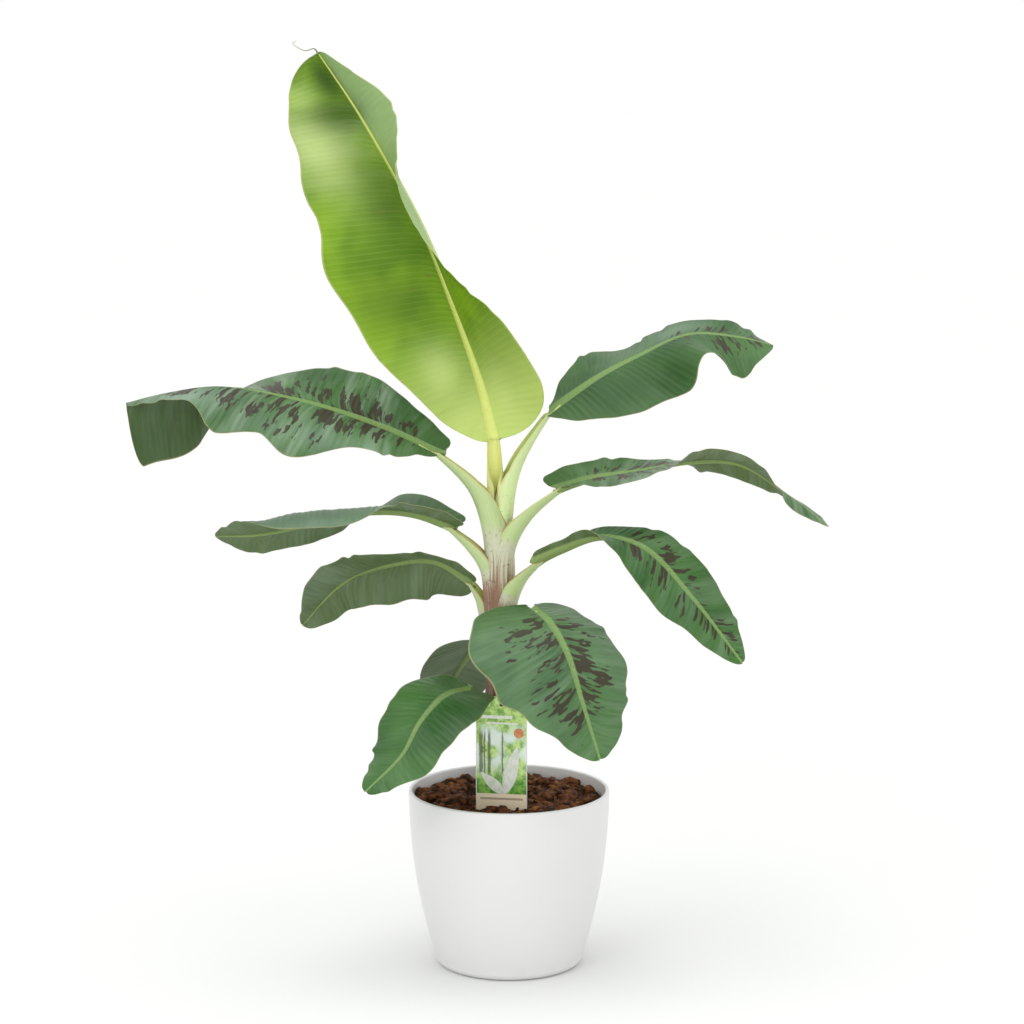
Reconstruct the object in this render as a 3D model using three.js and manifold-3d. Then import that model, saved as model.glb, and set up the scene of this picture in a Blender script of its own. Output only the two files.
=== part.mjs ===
// A young banana plant in a round pot: ten leaves on stalks that part from one leafy stem.
// Millimetres, +Z up. The origin is the middle of the pot's flat underside, and -Y is the front.
import * as THREE from "three";
import { mergeVertices } from "three/addons/utils/BufferGeometryUtils.js";
import Module from "manifold-3d";

const wasm = await Module();
wasm.setup();

const GAP = 0.3; // clearance between solids that touch
const POT = {
  height: 195,
  rimRadius: 110,
  flare: 31,
  wall: 4.5,
  floor: 6,
  footRound: 9,
  sides: 32,
  bands: 4,
};
const SOIL = { level: 181, lump: 3.5, rings: 5, sides: 24 };
const LABEL = { width: 56, bottom: 174, top: 308, arch: 4, thick: 1.6, turn: 9, x: -8, y: -45 };
const LABEL_HOLE = { radius: 2.4, drop: 9 };

// The stem, from its flat cut at soil level to its fork: [x, y, height, radius]
const STEM_SIDES = 16;
const STEM = [
  [-7, 0, SOIL.level + GAP, 24],
  [-7, 0, 205, 21],
  [-8, 0, 300, 18.5],
  [-8, 0, 380, 16],
  [-7, 0, 440, 13.5],
  [-7, 1, 478, 9],
];

// How finely a blade and a stalk are divided, how thick they are, and how far a margin waves
const BLADE = { steps: 14, columns: 8, thick: 1.6, ribThick: 6, wave: 1.5, waves: 3, parts: 8 };
const STALK = { sides: 8, steps: 5, from: 12, to: 6.5 };

// Each leaf: its stalk out of the stem, and its midrib from the end of the stalk to its tip, as points.
// heading is the way it grows, in degrees from +X. ends are the shares of the midrib over which the base
// and the tip round off. The other rows are evenly spaced from base to tip, with angles in degrees:
// roll turns the blade about its midrib, lifting the right half as seen from above. width is a half's
// width, fold how far it rises from the midrib, curl how much more it turns on the way to its margin,
// and slant how far its veins lean on towards the tip.
const LEAVES = {
  top: {
    stalk: [[-8, 1, 440], [-14, 5, 520], [-17, 10, 580]],
    rib: [
      [-17, 10, 580], [-31, 20, 640], [-62, 36, 728], [-98, 48, 814],
      [-161, 62, 926], [-205, 64, 992],
    ],
    heading: 90,
    ends: [0.12, 0.08],
    roll: [-6, -3, 0, 5, 0, 0],
    left: {
      width: [28, 84, 114, 99, 76, 46],
      fold: [4, 8, 8, 8, 10, 15],
      curl: [0, -5, -15, -20, -20, -20],
      slant: [-24, 0, 12, 22, 20, 10],
    },
    right: {
      width: [62, 80, 80, 76, 70, 34],
      fold: [5, 58, 84, 86, 60, 70],
      curl: [0, 0, 5, 5, 0, 0],
      slant: [-12, 5, 5, 5, 0, 0],
    },
  },
  upper_left: {
    stalk: [[-11, 0, 400], [-14, -1, 472], [-34, -3, 530], [-74, -6, 568]],
    rib: [
      [-74, -6, 568], [-138, -12, 598], [-223, -22, 627], [-307, -32, 643],
      [-365, -38, 636], [-406, -42, 626],
    ],
    heading: 182,
    ends: [0.04, 0.03],
    roll: [40, 42, 40, 35, 12, 0],
    left: {
      width: [10, 40, 66, 66, 34, 12],
      fold: [10, 5, 0, 0, 0, 0],
      curl: [0, -10, -10, -10, -10, -10],
      slant: [-12, 0, 15, 20, 20, 10],
    },
    right: {
      width: [16, 48, 62, 60, 64, 74],
      fold: [5, 12, 0, -34, -92, -90],
      curl: [0, -5, -5, -10, -10, -10],
      slant: [-45, -8, -14, 5, 5, 8],
    },
  },
  upper_right: {
    stalk: [[-8, 2, 400], [-7, 5, 500], [5, 9, 553], [39, 22, 606]],
    rib: [
      [39, 22, 606], [99, 36, 647], [142, 46, 668], [197, 56, 689],
      [252, 64, 685], [288, 68, 676],
    ],
    heading: 10,
    ends: [0.1, 0.08],
    roll: [-40, -45, -45, -45, -40, -30],
    left: {
      width: [5, 58, 46, 32, 30, 22],
      fold: [-10, -26, -38, -24, -12, -20],
      curl: [0, -5, -5, -5, -5, -5],
      slant: [20, 20, 20, 15, 10, 10],
    },
    right: {
      width: [20, 58, 72, 68, 58, 20],
      fold: [10, 0, 0, 32, -5, 0],
      curl: [0, 0, 0, 0, 0, 0],
      slant: [-10, 5, 20, 15, 15, 10],
    },
  },
  mid_right: {
    stalk: [[-6, -4, 390], [-4, -7, 462], [17, -12, 501], [51, -18, 530]],
    rib: [
      [51, -18, 530], [87, -28, 543], [140, -42, 554], [192, -54, 565],
      [244, -66, 564], [296, -76, 532], [336, -84, 501],
    ],
    heading: -12,
    ends: [0.04, 0.08],
    roll: [-10, -10, -8, -4, 34, 38, 28, -5, -20],
    left: {
      width: [22, 34, 28, 21, 20, 8],
      fold: [40, 12, 0, -10, -10, 0],
      curl: [0, 0, 0, -10, -10, 0],
      slant: [-50, 0, 10, 5, 15, 20],
    },
    right: {
      width: [4, 38, 40, 40, 24, 8],
      fold: [10, 0, 0, -10, -10, 0],
      curl: [0, 0, 0, -10, -10, 0],
      slant: [0, 0, 15, 20, 20, 20],
    },
  },
  low_right: {
    stalk: [[-5, -5, 350], [-2, -11, 402], [11, -18, 433], [28, -30, 452]],
    rib: [
      [28, -30, 452], [58, -48, 470], [97, -66, 486], [143, -88, 478],
      [192, -106, 429], [245, -118, 361],
    ],
    heading: -28,
    ends: [0.05, 0.08],
    roll: [0, -5, -30, -40, -40, -40],
    left: {
      width: [8, 15, 29, 38, 28, 12],
      fold: [35, 25, 2, 0, 0, 0],
      curl: [0, 0, -15, -20, -20, -20],
      slant: [-20, 0, 15, 20, 20, 20],
    },
    right: {
      width: [9, 15, 34, 38, 25, 10],
      fold: [75, 60, 10, 0, 0, 0],
      curl: [0, 0, -15, -20, -20, -20],
      slant: [-20, 0, 15, 20, 20, 20],
    },
  },
  mid_left: {
    stalk: [[-13, 0, 375], [-21, -1, 439], [-38, 0, 465], [-62, 2, 486]],
    rib: [
      [-62, 2, 486], [-102, 4, 499], [-144, 8, 501], [-205, 12, 489],
      [-269, 16, 475], [-319, 20, 472],
    ],
    heading: 178,
    ends: [0.05, 0.08],
    roll: [-20, -22, -20, -22, -25, -25],
    left: {
      width: [22, 40, 50, 55, 42, 20],
      fold: [15, 10, 35, 58, 35, 15],
      curl: [0, -20, -120, -145, -60, -10],
      slant: [-45, 0, 10, 15, 15, 10],
    },
    right: {
      width: [22, 46, 26, 30, 30, 18],
      fold: [40, 45, 0, -24, -20, -10],
      curl: [0, -5, -10, -10, -10, -5],
      slant: [-45, 0, 10, 10, 15, 10],
    },
  },
  low_left: {
    stalk: [[-13, 3, 340], [-25, 6, 395], [-29, 8, 407], [-39, 14, 422]],
    rib: [[-39, 14, 422], [-79, 26, 443], [-118, 38, 440], [-181, 54, 415], [-229, 64, 365]],
    heading: 160,
    ends: [0.06, 0.06],
    roll: [-45, -47, -47, -47, -47, -47],
    left: {
      width: [18, 28, 42, 62, 42, 12],
      fold: [5, -15, -18, -18, -15, -15],
      curl: [0, -10, -10, -10, -10, -10],
      slant: [-30, 5, 10, 5, 0, 0],
    },
    right: {
      width: [34, 50, 48, 38, 26, 12],
      fold: [-5, -15, -18, -18, -15, -15],
      curl: [0, -10, -10, -10, -10, -10],
      slant: [-10, 5, 15, 20, 20, 20],
    },
  },
  front: {
    stalk: [[-10, -8, 300], [-4, -22, 354], [10, -40, 393], [24, -62, 411]],
    rib: [[24, -62, 411], [43, -96, 400], [62, -124, 370], [76, -144, 327], [95, -154, 266]],
    heading: -75,
    ends: [0.12, 0.1],
    roll: [0, 0, 0, 0, 0, 0],
    left: {
      width: [42, 58, 62, 54, 36, 16],
      fold: [-10, -8, 0, 0, 0, 0],
      curl: [0, -15, -20, -20, -20, -20],
      slant: [-36, -3, 15, 20, 20, 20],
    },
    right: {
      width: [54, 96, 90, 62, 34, 14],
      fold: [5, 5, 5, 5, 5, 5],
      curl: [0, -15, -20, -20, -20, -20],
      slant: [-10, 0, 15, 20, 20, 20],
    },
  },
  front_left: {
    stalk: [[-12, -8, 245], [-24, -24, 285], [-40, -42, 316]],
    rib: [[-40, -42, 316], [-68, -72, 315], [-94, -98, 292], [-113, -114, 260], [-151, -122, 223]],
    heading: -140,
    ends: [0.12, 0.1],
    roll: [10, 10, 10, 10, 10, 10],
    left: {
      width: [38, 58, 52, 42, 25, 10],
      fold: [10, 8, 6, 5, 5, 5],
      curl: [0, -15, -20, -20, -20, -20],
      slant: [-10, 5, 15, 20, 20, 20],
    },
    right: {
      width: [30, 52, 54, 46, 30, 14],
      fold: [10, 8, 6, 5, 5, 5],
      curl: [0, -15, -20, -20, -20, -20],
      slant: [-10, 5, 15, 20, 20, 20],
    },
  },
  back: {
    stalk: [[-12, 6, 280], [-15, 22, 330], [-21, 40, 354]],
    rib: [[-21, 40, 354], [-36, 66, 342], [-53, 92, 314], [-69, 112, 280], [-82, 122, 240]],
    heading: 125,
    ends: [0.12, 0.1],
    roll: [0, 0, 0, 0, 0, 0],
    left: {
      width: [48, 68, 64, 50, 32, 14],
      fold: [5, 0, 0, 0, 0, 0],
      curl: [0, -15, -20, -20, -20, -20],
      slant: [-28, 0, 15, 20, 20, 20],
    },
    right: {
      width: [30, 50, 54, 48, 32, 14],
      fold: [5, 0, 0, 0, 0, 0],
      curl: [0, -15, -20, -20, -20, -20],
      slant: [-10, 5, 15, 20, 20, 20],
    },
  },
};

const radians = THREE.MathUtils.degToRad;
const { lerp, clamp } = THREE.MathUtils;

// ---- solids

function geometryOf(vertices, triangles) {
  const geometry = new THREE.BufferGeometry();
  geometry.setAttribute("position", new THREE.Float32BufferAttribute(vertices, 3));
  geometry.setIndex(new THREE.Uint32BufferAttribute(triangles, 1));
  return geometry;
}

// A closed geometry as a solid with its faces outwards.
function solidOf(geometry) {
  const bare = new THREE.BufferGeometry();
  bare.setAttribute("position", geometry.getAttribute("position"));
  bare.setIndex(geometry.getIndex());
  const merged = mergeVertices(bare, 1e-3);
  const vertProperties = merged.getAttribute("position").array;
  const triVerts = new Uint32Array(merged.getIndex().array);
  const made = new wasm.Manifold(new wasm.Mesh({ numProp: 3, vertProperties, triVerts }));
  if (made.volume() > 0) return made;
  triVerts.reverse();
  return new wasm.Manifold(new wasm.Mesh({ numProp: 3, vertProperties, triVerts }));
}

function meshOf(name, solid, look) {
  const { vertProperties, triVerts } = solid.getMesh();
  const geometry = geometryOf(vertProperties, triVerts);
  geometry.computeVertexNormals();
  const mesh = new THREE.Mesh(geometry, new THREE.MeshStandardMaterial(look));
  mesh.name = name;
  return mesh;
}

// A skin over rings of equal size, one after another, closed at both ends.
function loftSolid(rings) {
  const size = rings[0].length;
  const vertices = rings.flatMap((ring) => ring.flatMap((point) => point.toArray()));
  const triangles = [];
  for (let i = 0; i + 1 < rings.length; i++) {
    for (let j = 0; j < size; j++) {
      const a = i * size + j;
      const b = i * size + ((j + 1) % size);
      triangles.push(a, b, b + size, a, b + size, a + size);
    }
  }
  const last = (rings.length - 1) * size;
  for (let j = 1; j + 1 < size; j++) {
    triangles.push(0, j + 1, j, last, last + j, last + j + 1);
  }
  return solidOf(geometryOf(vertices, triangles));
}

// A round limb through points, with its radius at each.
function limbSolid(points, radii, sides) {
  const across = new THREE.Vector3(0, -1, 0);
  const rings = points.map((point, i) => {
    const ahead = points[Math.min(i + 1, points.length - 1)];
    const behind = points[Math.max(i - 1, 0)];
    const along = ahead.clone().sub(behind).normalize();
    across.addScaledVector(along, -across.dot(along)).normalize();
    const up = along.clone().cross(across);
    return Array.from({ length: sides }, (_, j) => {
      const turn = (2 * Math.PI * j) / sides;
      return point
        .clone()
        .addScaledVector(across, radii[i] * Math.cos(turn))
        .addScaledVector(up, radii[i] * Math.sin(turn));
    });
  });
  return loftSolid(rings);
}

function largestOf(solid) {
  return solid.decompose().reduce((best, piece) => (piece.volume() > best.volume() ? piece : best));
}

// ---- pot, soil and label

const potRadius = (z) => POT.rimRadius - POT.flare * (1 - z / POT.height) ** 2;

function potSolid() {
  const shape = new THREE.Path();
  const foot = potRadius(POT.footRound);
  const rim = POT.wall / 2;
  shape.moveTo(0, 0);
  shape.lineTo(foot - POT.footRound, 0);
  shape.quadraticCurveTo(foot - 2, 0, foot, POT.footRound);
  for (let i = 1; i <= POT.bands; i++) {
    const z = lerp(POT.footRound, POT.height - rim, i / POT.bands);
    shape.lineTo(potRadius(z), z);
  }
  shape.absarc(POT.rimRadius - rim, POT.height - rim, rim, 0, Math.PI, false);
  for (let i = POT.bands - 1; i >= 0; i--) {
    const z = lerp(POT.floor, POT.height - rim, i / POT.bands);
    shape.lineTo(potRadius(z) - POT.wall, z);
  }
  shape.lineTo(0, POT.floor);
  return solidOf(new THREE.LatheGeometry(shape.getPoints(3), POT.sides).rotateX(Math.PI / 2));
}

// The soil fills the pot. Its top is level by the stem and the wall, and lumpy between them.
function soilSolid() {
  const rings = [];
  const ring = (radius, z, lump) =>
    rings.push(
      Array.from({ length: SOIL.sides }, (_, j) => {
        const turn = (2 * Math.PI * j) / SOIL.sides;
        const rise = lump * (Math.sin(3 * turn + radius / 9) + Math.sin(7 * turn - radius / 6)) * 0.5;
        return new THREE.Vector3(radius * Math.cos(turn), radius * Math.sin(turn), z + rise);
      }),
    );
  const inner = (z) => (potRadius(z) - POT.wall) * Math.cos(Math.PI / SOIL.sides) - 2 * GAP;
  for (let i = 0; i <= 4; i++) {
    const z = lerp(POT.floor + GAP, SOIL.level, i / 4);
    ring(inner(z), z, 0);
  }
  for (let i = SOIL.rings - 1; i >= 1; i--) {
    const share = i / SOIL.rings;
    ring(inner(SOIL.level) * share, SOIL.level, share > 0.45 ? SOIL.lump * Math.sin(Math.PI * share) : 0);
  }
  return loftSolid(rings);
}

// A card with an arched top and a hole to hang it by, standing in a slit in the soil.
function labelGeometry(margin) {
  const half = LABEL.width / 2 + margin;
  const shape = new THREE.Shape();
  shape.moveTo(-half, LABEL.bottom - margin);
  shape.lineTo(half, LABEL.bottom - margin);
  shape.lineTo(half, LABEL.top - LABEL.arch);
  shape.quadraticCurveTo(0, LABEL.top + LABEL.arch, -half, LABEL.top - LABEL.arch);
  const hole = new THREE.Path();
  hole.absarc(0, LABEL.top - LABEL_HOLE.drop, LABEL_HOLE.radius, 0, 2 * Math.PI, true);
  if (margin === 0) shape.holes.push(hole);
  const depth = LABEL.thick + 2 * margin;
  const geometry = new THREE.ExtrudeGeometry(shape, { depth, bevelEnabled: false, curveSegments: 6 });
  geometry.translate(0, 0, -depth / 2);
  geometry.rotateX(Math.PI / 2);
  geometry.rotateZ(radians(-LABEL.turn));
  geometry.translate(LABEL.x, LABEL.y, 0);
  geometry.deleteAttribute("normal");
  geometry.deleteAttribute("uv");
  return mergeVertices(geometry, 1e-3);
}

// ---- leaves

// A value at a share of the way along evenly spaced ones, on a smooth curve through them.
function valueAt(row, share) {
  const place = clamp(share, 0, 1) * (row.length - 1);
  const i = Math.min(Math.floor(place), row.length - 2);
  const [before, from, to, after] = [-1, 0, 1, 2].map((k) => row[clamp(i + k, 0, row.length - 1)]);
  const t = place - i;
  const bend = 2 * before - 5 * from + 4 * to - after;
  const twist = 3 * from - before - 3 * to + after;
  return 0.5 * (2 * from + (to - before) * t + bend * t ** 2 + twist * t ** 3);
}

function curveThrough(points) {
  return new THREE.CatmullRomCurve3(points.map((p) => new THREE.Vector3(...p)), false, "centripetal");
}

// One half's width at a share of the midrib's length.
function halfWidth(leaf, side, share) {
  const fromBase = clamp(1 - share / leaf.ends[0], 0, 1);
  const fromTip = clamp(1 - (1 - share) / leaf.ends[1], 0, 1);
  return valueAt(leaf[side].width, share) * Math.sqrt(1 - fromBase ** 2) * Math.sqrt(1 - fromTip ** 2);
}

// A blade's upper face: v runs from -1 at the left margin through 0 at the midrib to 1 at the right.
function bladePoint(leaf, curve, share, v) {
  const side = v < 0 ? "left" : "right";
  const sign = v < 0 ? -1 : 1;
  const along = curve.getTangentAt(share);
  const heading = radians(leaf.heading);
  const across = new THREE.Vector3(Math.sin(heading), -Math.cos(heading), 0);
  across.addScaledVector(along, -across.dot(along)).normalize();
  const facing = across.clone().cross(along);
  const roll = radians(valueAt(leaf.roll, share));
  const right = across.clone().multiplyScalar(Math.cos(roll)).addScaledVector(facing, Math.sin(roll));
  const up = facing.multiplyScalar(Math.cos(roll)).addScaledVector(across, -Math.sin(roll));
  const reach = halfWidth(leaf, side, share) * Math.abs(v);
  const fold = radians(valueAt(leaf[side].fold, share));
  const curl = radians(valueAt(leaf[side].curl, share));
  let out = 0;
  let rise = BLADE.wave * v * v * Math.sin(2 * Math.PI * (BLADE.waves * share + 0.2 * sign));
  for (let i = 0; i < BLADE.parts; i++) {
    const turn = fold + (curl * Math.abs(v) * (i + 0.5)) / BLADE.parts;
    out += (Math.cos(turn) * reach) / BLADE.parts;
    rise += (Math.sin(turn) * reach) / BLADE.parts;
  }
  return curve
    .getPointAt(share)
    .addScaledVector(right, sign * out)
    .addScaledVector(up, rise)
    .addScaledVector(along, reach * Math.tan(radians(valueAt(leaf[side].slant, share))));
}

// The blade is a thin solid under its upper face, thicker where its midrib runs.
function bladeSolid(leaf) {
  const curve = curveThrough(leaf.rib);
  const { steps, columns } = BLADE;
  const upper = [];
  for (let i = 0; i <= steps; i++) {
    const share = lerp(0.01, 0.995, i / steps);
    const reaches = Array.from({ length: columns + 1 }, (_, j) => (2 * j) / columns - 1);
    upper.push(reaches.map((reach) => bladePoint(leaf, curve, share, reach)));
  }
  const rings = upper.map((row, i) => {
    const ahead = upper[Math.min(i + 1, steps)];
    const behind = upper[Math.max(i - 1, 0)];
    const lower = row.map((point, j) => {
      const along = ahead[j].clone().sub(behind[j]);
      const across = row[Math.min(j + 1, columns)].clone().sub(row[Math.max(j - 1, 0)]);
      const down = along.cross(across).normalize();
      const thick = j === columns / 2 ? lerp(BLADE.ribThick, BLADE.thick, i / steps) : BLADE.thick;
      return point.clone().addScaledVector(down, thick);
    });
    return [...row, ...lower.reverse()];
  });
  return loftSolid(rings);
}

function stalkSolid(leaf, extra) {
  const curve = curveThrough(leaf.stalk);
  const shares = Array.from({ length: STALK.steps + 1 }, (_, i) => i / STALK.steps);
  const points = shares.map((share) => curve.getPointAt(share));
  const radii = shares.map((share) => lerp(STALK.from, STALK.to, share) + extra);
  return limbSolid(points, radii, STALK.sides);
}

function stemSolid(extra) {
  const points = STEM.map(([x, y, z]) => new THREE.Vector3(x, y, z));
  return limbSolid(points, STEM.map((row) => row[3] + extra), STEM_SIDES);
}

// ---- the plant

const LOOKS = {
  pot: { color: 0xf2f1ee, roughness: 0.35, metalness: 0 },
  soil: { color: 0x3b2418, roughness: 0.95, metalness: 0 },
  label: { color: 0x9cc070, roughness: 0.4, metalness: 0 },
  stem: { color: 0x8a5a4c, roughness: 0.55, metalness: 0 },
  stalk: { color: 0xa9bf86, roughness: 0.5, metalness: 0 },
  youngLeaf: { color: 0x8fbb36, roughness: 0.45, metalness: 0 },
  leaf: { color: 0x2f5a35, roughness: 0.45, metalness: 0 },
};

const plant = new THREE.Group();
plant.add(meshOf("pot", potSolid(), LOOKS.pot));
plant.add(meshOf("soil", soilSolid().subtract(solidOf(labelGeometry(GAP))), LOOKS.soil));
plant.add(meshOf("label", solidOf(labelGeometry(0)), LOOKS.label));
plant.add(meshOf("stem", stemSolid(0), LOOKS.stem));

// Each stalk is cut back from the stem, the label and the stalks before it, and each blade from them all.
const wide = [stemSolid(GAP), solidOf(labelGeometry(GAP))];
for (const [name, leaf] of Object.entries(LEAVES)) {
  const clear = wide.reduce((left, solid) => left.subtract(solid), stalkSolid(leaf, 0));
  plant.add(meshOf("stalk_" + name, largestOf(clear), LOOKS.stalk));
  wide.push(stalkSolid(leaf, GAP));
}
for (const [name, leaf] of Object.entries(LEAVES)) {
  const clear = wide.reduce((left, solid) => left.subtract(solid), bladeSolid(leaf));
  const solid = largestOf(clear);
  plant.add(meshOf("leaf_" + name, solid, name === "top" ? LOOKS.youngLeaf : LOOKS.leaf));
  wide.push(solid);
}

export default plant;
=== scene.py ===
import math

import bpy
import numpy as np
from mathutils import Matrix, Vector, noise


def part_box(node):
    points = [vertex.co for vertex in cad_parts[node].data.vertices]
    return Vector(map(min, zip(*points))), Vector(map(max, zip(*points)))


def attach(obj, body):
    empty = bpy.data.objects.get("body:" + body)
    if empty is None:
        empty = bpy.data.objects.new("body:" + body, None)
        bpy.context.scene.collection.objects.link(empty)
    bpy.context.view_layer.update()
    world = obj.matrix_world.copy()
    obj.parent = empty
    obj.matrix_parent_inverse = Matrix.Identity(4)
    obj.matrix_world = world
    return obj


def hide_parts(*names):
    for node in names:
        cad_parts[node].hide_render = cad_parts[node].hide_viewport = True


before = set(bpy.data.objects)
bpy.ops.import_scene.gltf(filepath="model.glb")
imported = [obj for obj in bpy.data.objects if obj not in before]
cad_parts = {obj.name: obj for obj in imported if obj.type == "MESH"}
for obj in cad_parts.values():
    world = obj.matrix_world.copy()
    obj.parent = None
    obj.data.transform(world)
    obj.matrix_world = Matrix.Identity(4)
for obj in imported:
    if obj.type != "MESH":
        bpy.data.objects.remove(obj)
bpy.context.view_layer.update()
mm = 0.001
print("frame loaded:", len(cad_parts), "nodes")


def smoothStep(low, high, value):
    share = np.clip((np.asarray(value, float) - low) / (high - low), 0, 1)
    return share * share * (3 - 2 * share)


# a value at each share of the way along evenly spaced ones, on a smooth curve through them
def valueAt(row, share):
    row = np.asarray(row, float)
    place = np.clip(share, 0, 1) * (len(row) - 1)
    i = np.minimum(place.astype(int), len(row) - 2)
    before, start, end, after = [row[np.clip(i + k, 0, len(row) - 1)] for k in (-1, 0, 1, 2)]
    t = place - i
    bend = 2 * before - 5 * start + 4 * end - after
    twist = 3 * start - before - 3 * end + after
    return 0.5 * (2 * start + (end - before) * t + bend * t**2 + twist * t**3)


# a smooth curve through points: its place and its direction at each share of its length
class PathThrough:
    def __init__(self, points, perSpan=60):
        points = np.asarray(points, float)
        points = np.vstack([2 * points[0] - points[1], points, 2 * points[-1] - points[-2]])
        spans = []
        for a, b, c, d in zip(points, points[1:], points[2:], points[3:]):
            before, here, after = [np.linalg.norm(q - p) ** 0.5 for p, q in ((a, b), (b, c), (c, d))]
            leave = ((b - a) / before - (c - a) / (before + here) + (c - b) / here) * here
            reach = ((c - b) / here - (d - b) / (here + after) + (d - c) / after) * here
            t = np.linspace(0, 1, perSpan, endpoint=False)[:, None]
            spans.append(b + leave * t + (3 * (c - b) - 2 * leave - reach) * t**2
                         + (2 * (b - c) + leave + reach) * t**3)
        self.line = np.vstack(spans + [points[-2:-1]])
        steps = np.linalg.norm(np.diff(self.line, axis=0), axis=1)
        self.length = steps.sum()
        self.shares = np.concatenate([[0], np.cumsum(steps)]) / self.length

    def at(self, share):
        return np.stack([np.interp(share, self.shares, self.line[:, k]) for k in range(3)], -1)

    def along(self, share):
        step = 0.004
        way = self.at(np.clip(share + step, 0, 1)) - self.at(np.clip(share - step, 0, 1))
        return unit(way)


def unit(vectors):
    return vectors / np.maximum(np.linalg.norm(vectors, axis=-1, keepdims=True), 1e-12)


def dot(a, b):
    return (a * b).sum(-1, keepdims=True)


def gridNormals(grid):
    return unit(np.cross(np.gradient(grid, axis=0), np.gradient(grid, axis=1)))


def plainObject(name, data):
    piece = bpy.data.objects.new(name, data)
    bpy.context.scene.collection.objects.link(piece)
    return piece


# a mesh object from points and faces, turned so that its faces point outwards
def meshPiece(name, points, faces, values=None):
    points = np.asarray(points, float).reshape(-1, 3)
    volume = 0.0
    for face in (faces[:, [0, 1, 2]], faces[:, [0, 2, 3]]):
        a, b, c = points[face[:, 0]], points[face[:, 1]], points[face[:, 2]]
        volume += (a * np.cross(b, c)).sum()
    if volume < 0:
        faces = faces[:, ::-1]
    mesh = bpy.data.meshes.new(name)
    trimmed = [list(dict.fromkeys(face)) for face in faces.tolist()]
    mesh.from_pydata(points.tolist(), [], trimmed)
    for key, row in (values or {}).items():
        row = np.asarray(row, np.float32)
        isVector = row.shape[-1] == 3 and row.ndim > 1 and row.size == points.size
        layer = mesh.attributes.new(key, "FLOAT_VECTOR" if isVector else "FLOAT", "POINT")
        layer.data.foreach_set("vector" if isVector else "value", row.ravel())
    mesh.shade_smooth()
    return plainObject(name, mesh)


# a closed shell between two faces, each a grid of rows along it and columns across it
def shellPiece(name, outer, inner, values=None):
    rows, columns = outer.shape[:2]
    ring = 2 * columns
    points = np.concatenate([outer, inner[:, ::-1]], axis=1)
    i, j = np.meshgrid(np.arange(rows - 1), np.arange(ring), indexing="ij")
    a, b = i * ring + j, i * ring + (j + 1) % ring
    sides = np.stack([a, b, b + ring, a + ring], -1).reshape(-1, 4)
    j = np.arange(columns - 1)
    start = np.stack([j + 1, j, ring - 1 - j, ring - 2 - j], -1)
    end = start[:, ::-1] + (rows - 1) * ring
    packed = {
        key: np.concatenate([pair[0], pair[1][:, ::-1]], axis=1).reshape(-1, *pair[0].shape[2:])
        for key, pair in (values or {}).items()
    }
    return meshPiece(name, points, np.vstack([sides, start, end]), packed)


# a closed round piece from a profile of (radius, height) that starts and ends on the axis
def roundPiece(name, profile, sides, shift=None):
    radius, height = np.asarray(profile, float).T
    turn = np.arange(sides) * 2 * math.pi / sides
    rings = np.stack([
        radius[:, None] * np.cos(turn), radius[:, None] * np.sin(turn), height[:, None] + 0 * turn,
    ], -1)
    if shift:
        rings = shift(rings)
    count = len(radius)
    points = np.vstack([rings[0, :1], rings[1:-1].reshape(-1, 3), rings[-1, :1]])
    def place(i, j):
        inside = 1 + (i - 1) * sides + j % sides
        return np.where(i == 0, 0, np.where(i == count - 1, len(points) - 1, inside))
    i, j = np.meshgrid(np.arange(count - 1), np.arange(sides), indexing="ij")
    faces = np.stack([place(i, j), place(i, j + 1), place(i + 1, j + 1), place(i + 1, j)], -1)
    return meshPiece(name, points, faces.reshape(-1, 4))


def arcPoints(x, y, radius, start, end, count):
    turns = np.radians(np.linspace(start, end, count))
    return [(x + radius * math.cos(a), y + radius * math.sin(a)) for a in turns]


# sRGB levels of 0 to 255 as a linear colour
def linear(red, green, blue):
    levels = [channel / 255 for channel in (red, green, blue)]
    return [c / 12.92 if c <= 0.04045 else ((c + 0.055) / 1.055) ** 2.4 for c in levels] + [1]


def addNode(tree, kind, inputs=None, **settings):
    made = tree.nodes.new(kind)
    for key, value in settings.items():
        setattr(made, key, value)
    for key, value in (inputs or {}).items():
        if isinstance(value, bpy.types.NodeSocket):
            tree.links.new(value, made.inputs[key])
        else:
            made.inputs[key].default_value = value
    return made


def useGroup(tree, group, inputs):
    return addNode(tree, "ShaderNodeGroup", inputs, node_tree=group).outputs


def maths(tree, operation, *values):
    return addNode(tree, "ShaderNodeMath", dict(enumerate(values)), operation=operation).outputs[0]


def times(tree, *values):
    return maths(tree, "MULTIPLY", *values)


def plus(tree, *values):
    return maths(tree, "ADD", *values)


def less(tree, *values):
    return maths(tree, "SUBTRACT", *values)


def vectorMaths(tree, operation, inputs):
    return addNode(tree, "ShaderNodeVectorMath", inputs, operation=operation).outputs[0]


def blend(tree, share, first, second):
    made = addNode(tree, "ShaderNodeMix", {0: share, 6: first, 7: second}, data_type="RGBA")
    return made.outputs[2]


# a colour moved by some amount towards another, where a mask lets it
def tinted(tree, base, mask, amount, colour):
    return blend(tree, times(tree, mask, amount), base, colour)


# 0 below low and 1 above high, with a soft step between
def stepMask(tree, value, low, high):
    return addNode(tree, "ShaderNodeMapRange", {0: value, 1: low, 2: high, 3: 0.0, 4: 1.0},
                   interpolation_type="SMOOTHSTEP").outputs[0]


def ranged(tree, value, low, high):
    return addNode(tree, "ShaderNodeMapRange", {0: value, 1: 0.0, 2: 1.0, 3: low, 4: high}).outputs[0]


def attribute(tree, key, output="Fac"):
    return addNode(tree, "ShaderNodeAttribute", attribute_name=key).outputs[output]


def vectorOf(tree, x, y, z):
    return addNode(tree, "ShaderNodeCombineXYZ", {0: x, 1: y, 2: z}).outputs[0]


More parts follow.
